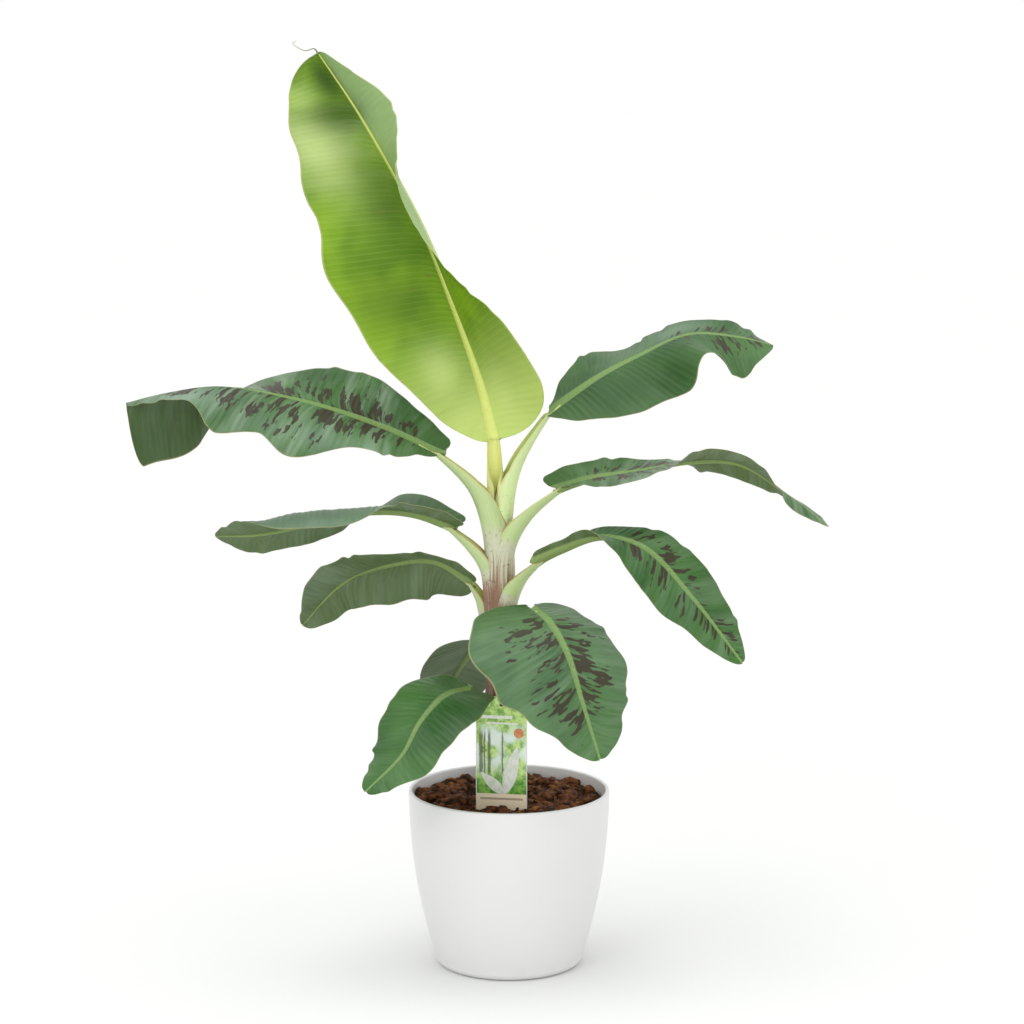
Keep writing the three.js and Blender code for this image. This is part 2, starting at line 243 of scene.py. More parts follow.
# a texture's place from two measures, each with its own scale, and a third value
def stretched(tree, first, firstScale, second, secondScale, third=0.0):
    return vectorOf(tree, times(tree, first, firstScale), times(tree, second, secondScale), third)


def partsOf(tree, vector):
    return addNode(tree, "ShaderNodeSeparateXYZ", {0: vector}).outputs


def noiseOf(tree, vector, scale, detail=2.0, roughness=0.5):
    made = addNode(tree, "ShaderNodeTexNoise",
                   {"Vector": vector, "Scale": scale, "Detail": detail, "Roughness": roughness})
    return made.outputs["Fac"]


def bumpOf(tree, height, strength, distance):
    made = addNode(tree, "ShaderNodeBump", {"Height": height, "Strength": strength, "Distance": distance})
    return made.outputs["Normal"]


def newGroup(name, inputs, outputs, kind="ShaderNodeTree"):
    tree = bpy.data.node_groups.new(name, kind)
    kinds = {"f": "NodeSocketFloat", "i": "NodeSocketInt",
             "g": "NodeSocketGeometry", "m": "NodeSocketMaterial"}
    for inOut, rows in (("INPUT", inputs), ("OUTPUT", outputs)):
        for title, letter in rows:
            tree.interface.new_socket(name=title, in_out=inOut, socket_type=kinds[letter])
    start, end = tree.nodes.new("NodeGroupInput"), tree.nodes.new("NodeGroupOutput")
    return tree, start.outputs, end.inputs


# ends a geometry tree: real meshes in the finish it was given
def closeTree(tree, given, result, last):
    real = addNode(tree, "GeometryNodeRealizeInstances", {"Geometry": last.outputs[0]})
    done = addNode(tree, "GeometryNodeSetMaterial",
                   {"Geometry": real.outputs[0], "Material": given["Finish"]})
    tree.links.new(done.outputs[0], result["Geometry"])
    return tree


# a material with one Principled shader: constants go straight on its sockets
def newFinish(name, constants):
    material = bpy.data.materials.new(name)
    material.use_nodes = True
    tree = material.node_tree
    shader = tree.nodes["Principled BSDF"]
    for key, value in constants.items():
        shader.inputs[key].default_value = value
    return material, tree, shader.inputs


def feed(tree, sockets, links):
    for key, value in links.items():
        tree.links.new(value, sockets[key])


# runs a geometry tree on an object and keeps the result as a plain mesh
def bakeNodes(piece, group, settings, name):
    modifier = piece.modifiers.new("nodes", "NODES")
    modifier.node_group = group
    for item in group.interface.items_tree:
        if item.in_out == "INPUT" and item.name in settings:
            modifier[item.identifier] = settings[item.name]
    bpy.context.view_layer.update()
    shaped = piece.evaluated_get(bpy.context.evaluated_depsgraph_get())
    mesh = bpy.data.meshes.new_from_object(shaped, preserve_all_data_layers=True,
                                           depsgraph=bpy.context.evaluated_depsgraph_get())
    mesh.name = name
    piece.modifiers.remove(modifier)
    return mesh


def finishPiece(piece, slotName, *nodes):
    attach(piece, "root")
    if nodes:
        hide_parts(*nodes)


def buildVeins():
    # side veins that leave the midrib at a slant: relief, a mask of their lines, and a place along them
    tree, given, result = newGroup(
        "sideVeins",
        [("Along", "f"), ("Across", "f"), ("Spacing", "f"), ("Sweep", "f"), ("Wander", "f")],
        [("Height", "f"), ("Lines", "f"), ("Fine", "f"), ("Place", "f")])
    away = maths(tree, "ABSOLUTE", given["Across"])
    lean = times(tree, given["Sweep"], maths(tree, "EXPONENT", times(tree, away, -130.0)))
    place = plus(tree, given["Along"], lean)
    wobble = noiseOf(tree, stretched(tree, given["Along"], 30.0, given["Across"], 9.0), 1.0, 1.0)
    place = plus(tree, place, times(tree, less(tree, wobble, 0.5), given["Wander"]))
    turns = maths(tree, "DIVIDE", place, given["Spacing"])
    wave = maths(tree, "SINE", times(tree, turns, 2 * math.pi))
    ripple = maths(tree, "SINE", times(tree, turns, 2 * math.pi * 6))
    level = maths(tree, "MULTIPLY_ADD", wave, 0.5, 0.5)
    tree.links.new(maths(tree, "MULTIPLY_ADD", ripple, 0.12, level), result["Height"])
    tree.links.new(maths(tree, "POWER", level, 7.0), result["Lines"])
    tree.links.new(maths(tree, "MULTIPLY_ADD", ripple, 0.5, 0.5), result["Fine"])
    tree.links.new(place, result["Place"])
    return tree


def buildBlotches():
    # dark marks drawn out along the veins, thick inside a zone and gone outside it
    tree, given, result = newGroup(
        "blotches", [("Along", "f"), ("Across", "f"), ("Seed", "f"), ("Zone", "f"), ("Amount", "f")],
        [("Mask", "f")])
    drawn = stretched(tree, given["Along"], 165.0, given["Across"], 46.0, given["Seed"])
    marks = noiseOf(tree, drawn, 1.0, 2.5, 0.55)
    patch = stretched(tree, given["Along"], 22.0, given["Across"], 15.0, plus(tree, given["Seed"], 7.0))
    patches = noiseOf(tree, patch, 1.0, 1.0)
    level = plus(tree, marks, times(tree, less(tree, patches, 0.5), 0.32))
    level = plus(tree, level, times(tree, less(tree, given["Zone"], 1.0), 0.3))
    edge = less(tree, 1.0, given["Amount"])
    tree.links.new(stepMask(tree, level, edge, plus(tree, edge, 0.035)), result["Mask"])
    return tree


def buildMottle():
    # slow and fast unevenness of colour, from object coordinates
    tree, given, result = newGroup("mottle", [("Scale", "f"), ("Seed", "f")], [("Slow", "f"), ("Fast", "f")])
    spot = addNode(tree, "ShaderNodeTexCoord").outputs["Object"]
    moved = vectorMaths(tree, "ADD", {0: spot, 1: given["Seed"]})
    tree.links.new(noiseOf(tree, moved, given["Scale"]), result["Slow"])
    tree.links.new(noiseOf(tree, moved, times(tree, given["Scale"], 9.0), 3.0), result["Fast"])
    return tree


# effects that several materials use
veins = buildVeins()
blotches = buildBlotches()
mottle = buildMottle()


# the stem's own line, which the sheaths hug
stem = {
    "foot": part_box("stem")[0].z,
    "heights": [0.0, 0.181, 0.205, 0.300, 0.380, 0.440, 0.478, 0.510, 0.540],
    "radii": [0.024, 0.024, 0.021, 0.0185, 0.016, 0.0145, 0.0125, 0.009, 0.0],
    "axisX": [-0.007, -0.007, -0.007, -0.008, -0.008, -0.007, -0.007, -0.009, -0.012],
    "axisY": [0.0, 0.0, 0.0, 0.0, 0.0, 0.0, 0.001, 0.003, 0.005],
    "layer": 0.0006,  # each older sheath lies this much further out
}


def stemRadius(height):
    return np.interp(height, stem["heights"], stem["radii"])


def stemAxis(height):
    return np.stack([np.interp(height, stem["heights"], stem["axisX"]),
                     np.interp(height, stem["heights"], stem["axisY"]), height], -1)


# Each leaf: its stalk out of the stem, and its midrib from the end of the stalk to its tip, as points in mm.
# heading is the way it grows, in degrees from +X. ends are the shares of the midrib over which the base
# and the tip round off. The other rows are evenly spaced from base to tip, with angles in degrees: roll
# turns the blade about its midrib, width is a half's width, fold how far it rises from the midrib, curl how
# much more it turns on the way to its margin, and slant how far its veins lean on towards the tip.
# girth is the stalk's radius where it starts, in mm, and scallop waves a half's margin: depth, count, start.
# look names its colours. pleat and swell scale its relief, gloss is its least roughness and shine its
# specular level. blotch is how much is marked, between two shares of its length (marked) and out to
# markReach of its half-width, and blotchDepth how strongly. The bloom row is a pale dusty bloom that also
# stands in for painted sheen, streaked along the veins: from, to, strength. ribReach is how far the
# midrib's colour runs, in its half-widths, paleTo how far up the base's, and paleRight how pale the right
# half turns. The painted-shade and painted-light rows are soft patches of painted shade and painted light:
# share along, mm across, their two sizes, strength.
leaves = {
    "top": {
        "look": "young", "pleat": 0.7, "swell": 0.7, "gloss": 0.4, "shine": 0.25,
        "blotch": 0.4, "blotchDepth": 0.3, "marked": (0.3, 0.6),
        "bloomAndSheen": (0.6, 0.8, 0.22), "paleTo": 0.32, "paleRight": 0.8,
        "paintedShade": [(0.94, -10, 0.07, 14, 0.9), (0.84, -20, 0.05, 34, 0.7), (0.62, -22, 0.16, 26, 0.45),
                 (0.36, -66, 0.08, 40, 0.45), (0.12, 48, 0.14, 34, 0.35), (0.99, -20, 0.04, 30, 0.4)],
        "paintedLight": [(0.76, -60, 0.13, 34, 0.8), (0.9, -48, 0.06, 24, 0.45), (0.19, -38, 0.06, 22, 0.6),
                   (0.08, 22, 0.08, 18, 0.4), (0.05, -25, 0.08, 26, 0.4)],
        "stalk": [[-8, 1, 440], [-14, 5, 520], [-17, 10, 580]],
        "rib": [[-17, 10, 580], [-31, 20, 640], [-62, 36, 728],
                [-98, 48, 814], [-161, 62, 926], [-205, 64, 992]],
        "heading": 90,
        "ends": [0.12, 0.08],
        "roll": [-6, -3, 0, 5, 0, 0],
        "left": {
            "width": [28, 84, 114, 99, 76, 46],
            "fold": [4, 8, 8, 8, 10, 15],
            "curl": [0, -5, -15, -20, -20, -20],
            "slant": [-24, 0, 12, 22, 20, 10],
        },
        "right": {
            "width": [62, 80, 80, 76, 70, 34],
            "fold": [5, 58, 84, 86, 60, 70],
            "curl": [0, 0, 5, 5, 0, 0],
            "slant": [-12, 5, 5, 5, 0, 0],
        },
    },
    "upper_left": {
        "blotch": 0.51, "marked": (0.04, 0.85), "markReach": 1.2, "bloomAndSheen": (0.0, 1.0, 0.5), "ribReach": 0.8,
        "paintedShade": [(0.94, 50, 0.25, 60, 0.55)],
        "paintedLight": [(0.8, -20, 0.12, 26, 0.8), (0.3, -44, 0.3, 22, 0.35)],
        "girth": 16.5, "stalk": [[-11, 0, 400], [-14, -1, 472], [-34, -3, 530], [-74, -6, 568]],
        "rib": [[-74, -6, 568], [-138, -12, 598], [-223, -22, 627],
                [-307, -32, 643], [-365, -38, 636], [-406, -42, 626]],
        "heading": 182,
        "ends": [0.04, 0.03],
        "roll": [40, 42, 40, 35, 12, 0],
        "left": {
            "scallop": (0.17, 3.7, 0.8),
            "width": [10, 40, 66, 66, 34, 12],
            "fold": [10, 5, 0, 0, 0, 0],
            "curl": [0, -10, -10, -10, -10, -10],
            "slant": [-12, 0, 15, 20, 20, 10],
        },
        "right": {
            "width": [16, 48, 62, 60, 64, 74],
            "fold": [5, 12, 0, -34, -92, -90],
            "curl": [0, -5, -5, -10, -10, -10],
            "slant": [-45, -8, -14, 5, 5, 8],
        },
    },
    "upper_right": {
        "blotch": 0.46, "marked": (0.5, 0.95), "bloomAndSheen": (0.0, 1.0, 0.1),
        "paintedShade": [(0.35, 36, 0.3, 40, 0.6), (0.15, 10, 0.2, 30, 0.4)], "paintedLight": [(0.6, -16, 0.12, 16, 0.5)],
        "girth": 15, "stalk": [[-8, 2, 400], [-7, 5, 500], [5, 9, 553], [39, 22, 606]],
        "rib": [[39, 22, 606], [99, 36, 647], [142, 46, 668],
                [197, 56, 689], [252, 64, 685], [288, 68, 676]],
        "heading": 10,
        "ends": [0.1, 0.08],
        "roll": [-40, -45, -45, -45, -40, -30],
        "left": {
            "width": [5, 58, 46, 32, 30, 22],
            "fold": [-10, -26, -38, -24, -12, -20],
            "curl": [0, -5, -5, -5, -5, -5],
            "slant": [20, 20, 20, 15, 10, 10],
        },
        "right": {
            "width": [20, 58, 72, 68, 58, 20],
            "fold": [10, 0, 0, 32, -5, 0],
            "curl": [0, 0, 0, 0, 0, 0],
            "slant": [-10, 5, 20, 15, 15, 10],
        },
    },
    "mid_right": {
        "blotch": 0.5, "marked": (0.04, 0.6), "markReach": 1.2, "bloomAndSheen": (0.0, 1.0, 0.4),
        "girth": 13.5, "stalk": [[-6, -4, 390], [-4, -7, 462], [17, -12, 501], [51, -18, 530]],
        "rib": [[51, -18, 530], [87, -28, 543], [140, -42, 554], [192, -54, 565],
                [244, -66, 564], [296, -76, 532], [336, -84, 501]],
        "heading": -12,
        "ends": [0.04, 0.08],
        "roll": [-10, -10, -8, -4, 34, 38, 28, -5, -20],
        "left": {
            "width": [22, 34, 28, 21, 20, 8],
            "fold": [40, 12, 0, -10, -10, 0],
            "curl": [0, 0, 0, -10, -10, 0],
            "slant": [-50, 0, 10, 5, 15, 20],
        },
        "right": {
            "width": [4, 38, 40, 40, 24, 8],
            "fold": [10, 0, 0, -10, -10, 0],
            "curl": [0, 0, 0, -10, -10, 0],
            "slant": [0, 0, 15, 20, 20, 20],
        },
    },
    "low_right": {
        "blotch": 0.48, "marked": (0.3, 0.95), "markReach": 1.2,
        "girth": 13.5, "stalk": [[-5, -5, 350], [-2, -11, 402], [11, -18, 433], [28, -30, 452]],
        "rib": [[28, -30, 452], [58, -48, 470], [97, -66, 486],
                [143, -88, 478], [192, -106, 429], [245, -118, 361]],
        "heading": -28,
        "ends": [0.05, 0.08],
        "roll": [0, -5, -30, -40, -40, -40],
        "left": {
            "width": [8, 15, 29, 38, 28, 12],
            "fold": [35, 25, 2, 0, 0, 0],
            "curl": [0, 0, -15, -20, -20, -20],
            "slant": [-20, 0, 15, 20, 20, 20],
        },
        "right": {
            "width": [9, 15, 34, 38, 25, 10],
            "fold": [75, 60, 10, 0, 0, 0],
            "curl": [0, 0, -15, -20, -20, -20],
            "slant": [-20, 0, 15, 20, 20, 20],
        },
    },
    "mid_left": {
        "blotch": 0.44, "paintedLight": [(0.55, -40, 0.3, 60, 0.7)],
        "girth": 13, "stalk": [[-13, 0, 375], [-21, -1, 439], [-38, 0, 465], [-62, 2, 486]],
        "rib": [[-62, 2, 486], [-102, 4, 499], [-144, 8, 501],
                [-205, 12, 489], [-269, 16, 475], [-319, 20, 472]],
        "heading": 178,
        "ends": [0.05, 0.08],
        "roll": [-20, -22, -20, -22, -25, -25],
        "left": {
            "width": [22, 40, 50, 55, 42, 20],
            "fold": [15, 10, 35, 58, 35, 15],
            "curl": [0, -20, -120, -145, -60, -10],
            "slant": [-45, 0, 10, 15, 15, 10],
        },
        "right": {
            "width": [22, 46, 26, 30, 30, 18],
            "fold": [40, 45, 0, -24, -20, -10],
            "curl": [0, -5, -10, -10, -10, -5],
            "slant": [-45, 0, 10, 10, 15, 10],
        },
    },
    "low_left": {
        "blotch": 0.42, "paintedLight": [(0.8, -30, 0.2, 30, 0.6), (0.3, 30, 0.25, 30, 0.3)],
        "stalk": [[-13, 3, 340], [-25, 6, 395], [-29, 8, 407], [-39, 14, 422]],
        "rib": [[-39, 14, 422], [-79, 26, 443], [-118, 38, 440], [-181, 54, 415], [-229, 64, 365]],
        "heading": 160,
        "ends": [0.06, 0.06],
        "roll": [-45, -47, -47, -47, -47, -47],
        "left": {
            "width": [18, 28, 42, 62, 42, 12],
            "fold": [5, -15, -18, -18, -15, -15],
            "curl": [0, -10, -10, -10, -10, -10],
            "slant": [-30, 5, 10, 5, 0, 0],
        },
        "right": {
            "width": [34, 50, 48, 38, 26, 12],
            "fold": [-5, -15, -18, -18, -15, -15],
            "curl": [0, -10, -10, -10, -10, -10],
            "slant": [-10, 5, 15, 20, 20, 20],
        },
    },
    "front": {
        "blotch": 0.5, "marked": (0.08, 0.8), "markReach": 1.1,
        "paintedLight": [(0.4, 60, 0.5, 60, 0.18), (0.4, -50, 0.5, 40, 0.18)],
        "stalk": [[-10, -8, 300], [-4, -22, 354], [10, -40, 393], [24, -62, 411]],
        "rib": [[24, -62, 411], [43, -96, 400], [62, -124, 370], [76, -144, 327], [95, -154, 266]],
        "heading": -75,
        "ends": [0.12, 0.1],
        "roll": [0, 0, 0, 0, 0, 0],
        "left": {
            "width": [42, 58, 62, 54, 36, 16],
            "fold": [-10, -8, 0, 0, 0, 0],
            "curl": [0, -15, -20, -20, -20, -20],
            "slant": [-36, -3, 15, 20, 20, 20],
        },
        "right": {
            "width": [54, 96, 90, 62, 34, 14],
            "fold": [5, 5, 5, 5, 5, 5],
            "curl": [0, -15, -20, -20, -20, -20],
            "slant": [-10, 0, 15, 20, 20, 20],
        },
    },
    "front_left": {
        "blotch": 0.2, "gloss": 0.24, "bloomAndSheen": (0.0, 1.0, 0.06),
        "stalk": [[-12, -8, 245], [-24, -24, 285], [-40, -42, 316]],
        "rib": [[-40, -42, 316], [-68, -72, 315], [-94, -98, 292], [-113, -114, 260], [-151, -122, 223]],
        "heading": -140,
        "ends": [0.12, 0.1],
        "roll": [10, 10, 10, 10, 10, 10],
        "left": {
            "width": [38, 58, 52, 42, 25, 10],
            "fold": [10, 8, 6, 5, 5, 5],
            "curl": [0, -15, -20, -20, -20, -20],
            "slant": [-10, 5, 15, 20, 20, 20],
        },
        "right": {
            "width": [30, 52, 54, 46, 30, 14],
            "fold": [10, 8, 6, 5, 5, 5],
            "curl": [0, -15, -20, -20, -20, -20],
            "slant": [-10, 5, 15, 20, 20, 20],
        },
    },
    "back": {
        "blotch": 0.4, "paintedLight": [(0.3, 0, 0.6, 90, 0.5)],
        "stalk": [[-12, 6, 280], [-15, 22, 330], [-21, 40, 354]],
        "rib": [[-21, 40, 354], [-36, 66, 342], [-53, 92, 314], [-69, 112, 280], [-82, 122, 240]],
        "heading": 125,
        "ends": [0.12, 0.1],
        "roll": [0, 0, 0, 0, 0, 0],
        "left": {
            "width": [48, 68, 64, 50, 32, 14],
            "fold": [5, 0, 0, 0, 0, 0],
            "curl": [0, -15, -20, -20, -20, -20],
            "slant": [-28, 0, 15, 20, 20, 20],
        },
        "right": {
            "width": [30, 50, 54, 48, 32, 14],
            "fold": [5, 0, 0, 0, 0, 0],
            "curl": [0, -15, -20, -20, -20, -20],
            "slant": [-10, 5, 15, 20, 20, 20],
        },
    },
}

blade = {
    "rows": 190, "columns": 26, "thick": 0.8 * mm, "edgeThick": 0.35 * mm,
    "ribBase": 6.2 * mm, "ribTip": 1.1 * mm,      # half the midrib's width
    "channel": [0, 0.35, 0.7, 1.0, 1.35],         # columns over the midrib, in its half-widths
    "hollow": 0.42, "keel": 0.85, "lip": 0.12,    # depth of its channel, its back and its edge, likewise
    "wave": 1.5 * mm, "waves": 3, "parts": 16,
    "pleat": 0.24 * mm, "pleatSpacing": 6.4 * mm, "swell": 1.3 * mm, "swellSpacing": 38 * mm,
}


def buildPleats():
    # lifts a blade along its own facing, in fine pleats and slow swells that run along its side veins
    tree, given, result = newGroup(
        "pleats",
        [("Geometry", "g"), ("Pleat", "f"), ("Pleat Spacing", "f"), ("Swell", "f"), ("Swell Spacing", "f"),
         ("Finish", "m")],
        [("Geometry", "g")], "GeometryNodeTree")
    def named(key, kind):
        made = addNode(tree, "GeometryNodeInputNamedAttribute", {"Name": key}, data_type=kind)
        return made.outputs["Attribute"]
    along, free, loose = named("along", "FLOAT"), named("free", "FLOAT"), named("loose", "FLOAT")
    across = named("across", "FLOAT")
    spot = stretched(tree, along, 22.0, across, 6.0)
    drift = noiseOf(tree, spot, 1.0, 1.0)
    def wave(spacing, depth, amount):
        turns = plus(tree, maths(tree, "DIVIDE", along, spacing), times(tree, drift, 3.0))
        turns = times(tree, turns, 2 * math.pi)
        depth = times(tree, depth, times(tree, drift, 2.0))
        return times(tree, times(tree, maths(tree, "SINE", turns), depth), amount)
    lift = plus(tree, wave(given["Pleat Spacing"], given["Pleat"], free),
                 wave(given["Swell Spacing"], given["Swell"], loose))
    facing = named("facing", "FLOAT_VECTOR")
    offset = vectorMaths(tree, "SCALE", {0: facing, "Scale": lift})
    moved = addNode(tree, "GeometryNodeSetPosition", {"Geometry": given["Geometry"], "Offset": offset})
    return closeTree(tree, given, result, moved)


pleats = buildPleats()


def halfWidth(leaf, side, share):
    fromBase = np.clip(1 - share / leaf["ends"][0], 0, 1)
    fromTip = np.clip(1 - (1 - share) / leaf["ends"][1], 0, 1)
    depth, count, start = leaf[side].get("scallop", (0.03, 5, leaf["heading"]))
    scallop = 1 + depth * np.sin(2 * math.pi * (count * share + start)) * smoothStep(0, 0.1, share)
    width = valueAt(leaf[side]["width"], share) * mm * scallop
    return width * np.sqrt(1 - fromBase**2) * np.sqrt(1 - fromTip**2)


def ribHalf(share):
    return blade["ribBase"] + (blade["ribTip"] - blade["ribBase"]) * share**0.7


def bladePiece(name, leaf, material):
    rib = PathThrough(np.array(leaf["rib"]) * mm)
    rows, columns = blade["rows"], blade["columns"]
    share = 0.5 - 0.5 * np.cos(np.linspace(0.06, math.pi - 0.03, rows))
    share = 0.6 * share + 0.4 * np.linspace(share[0], share[-1], rows)
    middle, along = rib.at(share), rib.along(share)
    heading = math.radians(leaf["heading"])
    across = np.array([math.sin(heading), -math.cos(heading), 0.0])
    across = unit(across - dot(along, across) * along)
    facing = np.cross(across, along)
    roll = np.radians(valueAt(leaf["roll"], share))[:, None]
    right = across * np.cos(roll) + facing * np.sin(roll)
    up = facing * np.cos(roll) - across * np.sin(roll)
    near = ribHalf(share)
    grids, far, away = {}, {}, {}
    for side, sign in (("left", -1), ("right", 1)):
        width = halfWidth(leaf, side, share)
        channel = np.minimum(near, 0.45 * width)[:, None] * np.array(blade["channel"])
        spread = np.linspace(0, 1, columns - len(blade["channel"]) + 1)[1:] ** 0.9
        outer = channel[:, -1:] + (width[:, None] - channel[:, -1:]) * spread
        reach = np.concatenate([channel, outer], axis=1)
        v = reach / np.maximum(width[:, None], 1e-6)
        fold = np.radians(valueAt(leaf[side]["fold"], share))[:, None]
        curl = np.radians(valueAt(leaf[side]["curl"], share))[:, None]
        slant = np.radians(valueAt(leaf[side]["slant"], share))[:, None]
        swing = np.sin(2 * math.pi * (blade["waves"] * share[:, None] + 0.2 * sign))
        out, rise = 0, blade["wave"] * v**2 * swing
        for k in range(blade["parts"]):
            turn = fold + curl * v * (k + 0.5) / blade["parts"]
            out = out + np.cos(turn) * reach / blade["parts"]
            rise = rise + np.sin(turn) * reach / blade["parts"]
        grids[side] = (middle[:, None] + right[:, None] * (sign * out)[..., None]
                       + up[:, None] * rise[..., None]
                       + along[:, None] * (reach * np.tan(slant))[..., None])
        far[side], away[side] = v, reach * sign
    def join(parts):
        return np.concatenate([parts["left"][:, :0:-1], parts["right"]], axis=1)
    upper, v, away = join(grids), join(far), join(away)
    normal = gridNormals(upper)
    if dot(normal, up[:, None]).mean() < 0:
        normal = -normal
    ribShare = np.abs(away) / near[:, None]
    hollow = np.maximum(1 - ribShare**2, 0) * near[:, None]
    lip = np.exp(-((ribShare - 1.15) / 0.3) ** 2) * near[:, None] * blade["lip"]
    fade = smoothStep(1.0, 0.9, share)[:, None] * 0.7 + 0.3
    thick = blade["edgeThick"] + (blade["thick"] - blade["edgeThick"]) * smoothStep(1.0, 0.8, v)
    sunk = hollow * blade["hollow"] * (1 - 0.6 * share[:, None])
    top = upper + normal * ((lip - sunk) * fade)[..., None]
    under = upper - normal * (thick + np.sqrt(hollow * near[:, None]) * blade["keel"] * fade)[..., None]
    step = share[:, None] * rib.length
    free = smoothStep(1.2, 2.6, ribShare) * smoothStep(0.0, 0.05, share)[:, None]
    free = free * smoothStep(1.0, 0.94, share)[:, None]
    loose = smoothStep(0.15, 0.9, v) * free * (0.6 + 0.4 * np.sin(share[:, None] * 17 + away * 25))
    free = free * smoothStep(1.0, 0.85, v)
    one = np.ones_like(v)
    # soft patches of painted shade and painted light, from a leaf's rows of them
    def spots(rows):
        level = 0 * one
        for at, off, alongSize, acrossSize, amount in rows:
            distance = ((share[:, None] - at) / alongSize) ** 2 + ((away / mm - off) / acrossSize) ** 2
            level = np.maximum(level, amount * np.exp(-distance))
        return level, level
    pale = leaf.get("paleRight", 0) * smoothStep(0.5, 0.75, share)[:, None] * smoothStep(0, 0.006, away)
    values = {
        "paintedShade": spots(leaf.get("paintedShade", [])), "paintedLight": spots(leaf.get("paintedLight", [])), "pale": (pale, pale),
        "along": (step * one, step * one), "across": (away, away), "share": (share[:, None] * one,) * 2,
        "margin": (v, v), "ribShare": (ribShare, ribShare), "under": (0 * one, one),
        "facing": (normal, normal), "free": (free, free), "loose": (loose, loose),
    }
    raw = shellPiece("raw", top, under, values)
    mesh = bakeNodes(raw, pleats, {
        "Pleat": blade["pleat"] * leaf.get("pleat", 1), "Pleat Spacing": blade["pleatSpacing"],
        "Swell": blade["swell"] * leaf.get("swell", 1), "Swell Spacing": blade["swellSpacing"],
        "Finish": material,
    }, "blade_" + name)
    bpy.data.objects.remove(raw)
    return plainObject("blade_" + name, mesh)


# the leaves' colours, face up and face down, among them colours for painted shade, painted light and a bloom
# that is partly painted sheen
leafLooks = {
    "young": {
        "face": linear(88, 130, 0), "faceAway": linear(126, 166, 22), "base": linear(200, 218, 122),
        "rib": linear(224, 232, 138), "under": linear(158, 186, 130), "underRib": linear(196, 212, 140),
        "blotch": linear(112, 116, 48), "margin": linear(196, 206, 130), "line": linear(166, 192, 88),
        "bloomAndSheen": linear(206, 214, 186), "paintedLightColour": linear(200, 220, 140),
        "paintedShade": linear(48, 78, 8), "lines": 0.16,
    },
    "grown": {
        "face": linear(40, 82, 32), "faceAway": linear(66, 108, 50), "base": linear(56, 90, 40),
        "rib": linear(124, 154, 90), "under": linear(90, 108, 64), "underRib": linear(126, 148, 86),
        "blotch": linear(50, 30, 24), "margin": linear(164, 164, 120), "line": linear(76, 116, 60),
        "bloomAndSheen": linear(150, 170, 146), "paintedLightColour": linear(136, 160, 138),
        "paintedShade": linear(24, 62, 14), "lines": 0.3,
    },
}


